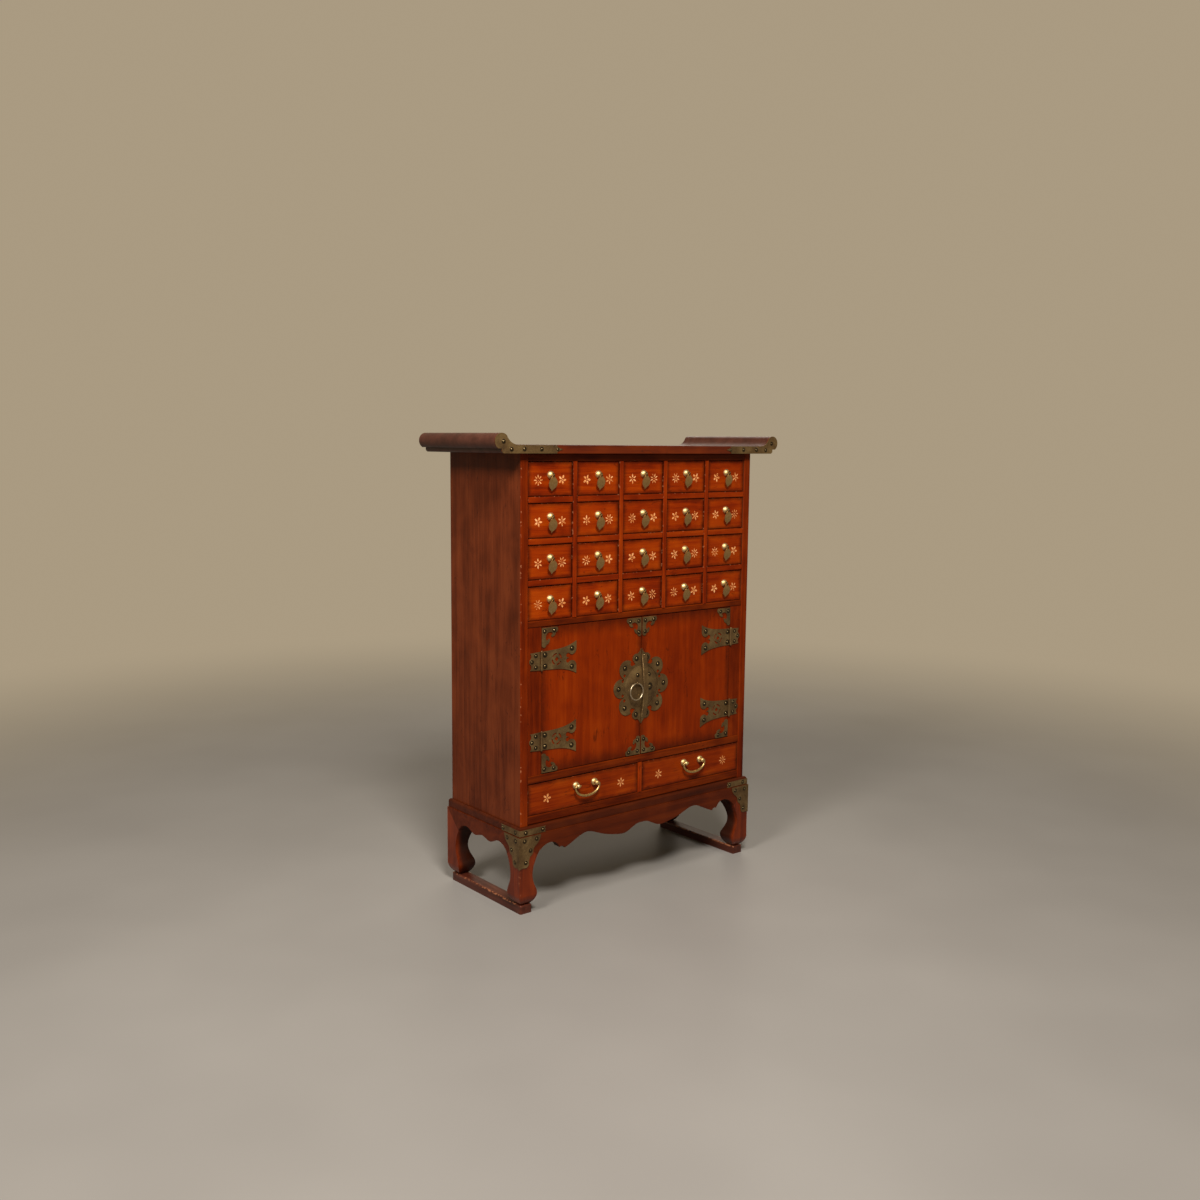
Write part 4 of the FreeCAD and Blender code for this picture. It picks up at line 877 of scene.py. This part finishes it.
def painted_flowers(name, drawer, recess, reach, number):
    """The pair of flowers on one drawer, to the left and right of its pull."""
    middle, _, face_y = front_of(drawer, recess)
    builder = bmesh.new()
    for count, side in enumerate((-1, 1), start=number):
        kind = FLOWERS[count % len(FLOWERS)]
        flower(builder, kind, middle[0] + side * reach, face_y, middle[1] - MARK_DROP, MARK_TILT * count)
    finished_piece(name, builder, f"body_{drawer}", (gilt,))


for row in range(1, ROWS + 1):
    for column in range(1, COLUMNS + 1):
        cell = f"r{row}_c{column}"
        number = row + column
        painted_flowers(f"painted_flowers_{cell}", f"drawer_{cell}", SMALL_RECESS, SMALL_MARK_X, number)
for number, side in enumerate(("left", "right")):
    painted_flowers(
        f"painted_flowers_lower_{side}", f"lower_drawer_{side}", LOWER_RECESS, LOWER_MARK_X, number)


# Studio

def camera():
    """Camera at the photograph's place, turned by its yaw, pitch and roll."""
    made = bpy.data.objects.new("camera", bpy.data.cameras.new("camera"))
    made.data.lens = FOCAL_PX * SENSOR / IMAGE_PX
    made.data.sensor_width = SENSOR
    made.data.sensor_fit = "HORIZONTAL"
    yaw, pitch, roll = (math.radians(angle) for angle in (YAW, PITCH, ROLL))
    ahead = Vector((math.sin(yaw) * math.cos(pitch), math.cos(yaw) * math.cos(pitch), math.sin(pitch)))
    right = Vector((math.cos(yaw), -math.sin(yaw), 0))
    up = right.cross(ahead)
    turned_right = math.cos(roll) * right + math.sin(roll) * up
    turned_up = -math.sin(roll) * right + math.cos(roll) * up
    turn = Matrix((turned_right, turned_up, -ahead)).transposed().to_4x4()
    made.matrix_world = Matrix.Translation(CAMERA_AT) @ turn
    bpy.context.scene.collection.objects.link(made)
    bpy.context.scene.camera = made


def soft_lamp(name, at, size, power):
    """Round soft lamp aimed at the middle of the chest."""
    made = bpy.data.objects.new(name, bpy.data.lights.new(name, "AREA"))
    made.data.shape = "DISK"
    made.data.size = size
    made.data.energy = power
    made.data.color = colour(LAMP_TINT)[:3]
    made.location = at
    made.rotation_euler = (Vector(CHEST_MIDDLE) - Vector(at)).to_track_quat("-Z", "Y").to_euler()
    bpy.context.scene.collection.objects.link(made)


# Floor of cast grey resin: plain and satin, with a faint cloudiness, turning to the backdrop's own colour
# far behind the chest. Its cloud is in millimetres, and the other sizes and places are in metres.
FLOOR_REACH = 40.0
FLOOR_FADES = (1.1, 3.4)
FLOOR_CLOUD = 420.0
FLOOR_GREY = ((0.35, "#8C8A88"), (0.65, "#918F8D"))
FLOOR_ROUGH = 0.4
FLOOR_GLOSS = 0.12
BACKDROP = "#B2A288"
BACKDROP_LIGHT = 0.9
ROOM_LIGHT = 0.3
CHEST_MIDDLE = (0.0, 0.0, 0.55)

# Lamps: place and size in metres, power in watts
LAMP_TINT = "#FFF6EA"
LAMPS = {
    "side_lamp": ((-2.2, -0.8, 2.4), 0.8, 54.0),
    "front_lamp": ((-1.0, -1.7, 2.5), 0.7, 82.0),
    "back_lamp": ((2.1, 1.9, 2.6), 2.2, 20.0),
}


def shown_background(add):
    """1 for the rays that show the background: to the camera, and in metal and glass."""
    seen = [add("LightPath", {}, output=f"Is {kind} Ray") for kind in ("Camera", "Glossy", "Transmission")]
    shown = add("Math", {0: seen[0], 1: seen[1]}, operation="MAXIMUM")
    return add("Math", {0: shown, 1: seen[2]}, operation="MAXIMUM")


def floor_resin(name):
    """Resin of the floor, fading to the backdrop's colour away from the chest."""
    material, shader, add, place = start_material(name)
    at = add("VectorMath", {0: place, 1: even(FLOOR_CLOUD)}, operation="MULTIPLY")
    cloud = add("TexNoise", {"Vector": at, "Scale": 1.0, "Detail": CLOUDY})
    base = add("ValToRGB", {"Fac": cloud}, stops=FLOOR_GREY)
    connect(shader, {"Base Color": base, "Roughness": FLOOR_ROUGH, "Specular IOR Level": FLOOR_GLOSS})
    away = add("VectorMath", {0: place}, output="Value", operation="LENGTH")
    near, far = FLOOR_FADES
    fades = add("MapRange", {0: away, 1: near, 2: far}, interpolation_type="SMOOTHSTEP")
    fades = add("Math", {0: fades, 1: shown_background(add)}, operation="MULTIPLY")
    pale = add("Emission", {"Color": colour(BACKDROP), "Strength": BACKDROP_LIGHT})
    surface = add("MixShader", {0: fades, 1: shader.outputs["BSDF"], 2: pale})
    connect(material.node_tree.nodes["Material Output"], {"Surface": surface})
    return material


def studio():
    """Floor, room light and lamps."""
    builder = bmesh.new()
    bmesh.ops.create_grid(builder, x_segments=1, y_segments=1, size=FLOOR_REACH)
    mesh = bpy.data.meshes.new("floor")
    builder.to_mesh(mesh)
    builder.free()
    mesh.materials.append(floor_resin("cast_resin_floor"))
    floor = bpy.data.objects.new("floor", mesh)
    bpy.context.scene.collection.objects.link(floor)
    world = bpy.data.worlds.new("studio")
    world.use_nodes = True
    add = partial(add_node, world.node_tree)
    strength = add("Mix", {0: shown_background(add), 2: ROOM_LIGHT, 3: BACKDROP_LIGHT}, data_type="FLOAT")
    connect(world.node_tree.nodes["Background"], {"Color": colour(BACKDROP), "Strength": strength})
    bpy.context.scene.world = world
    for name, (at, size, power) in LAMPS.items():
        soft_lamp(name, at, size, power)
    bpy.context.scene.view_settings.view_transform = "Standard"


camera()
studio()
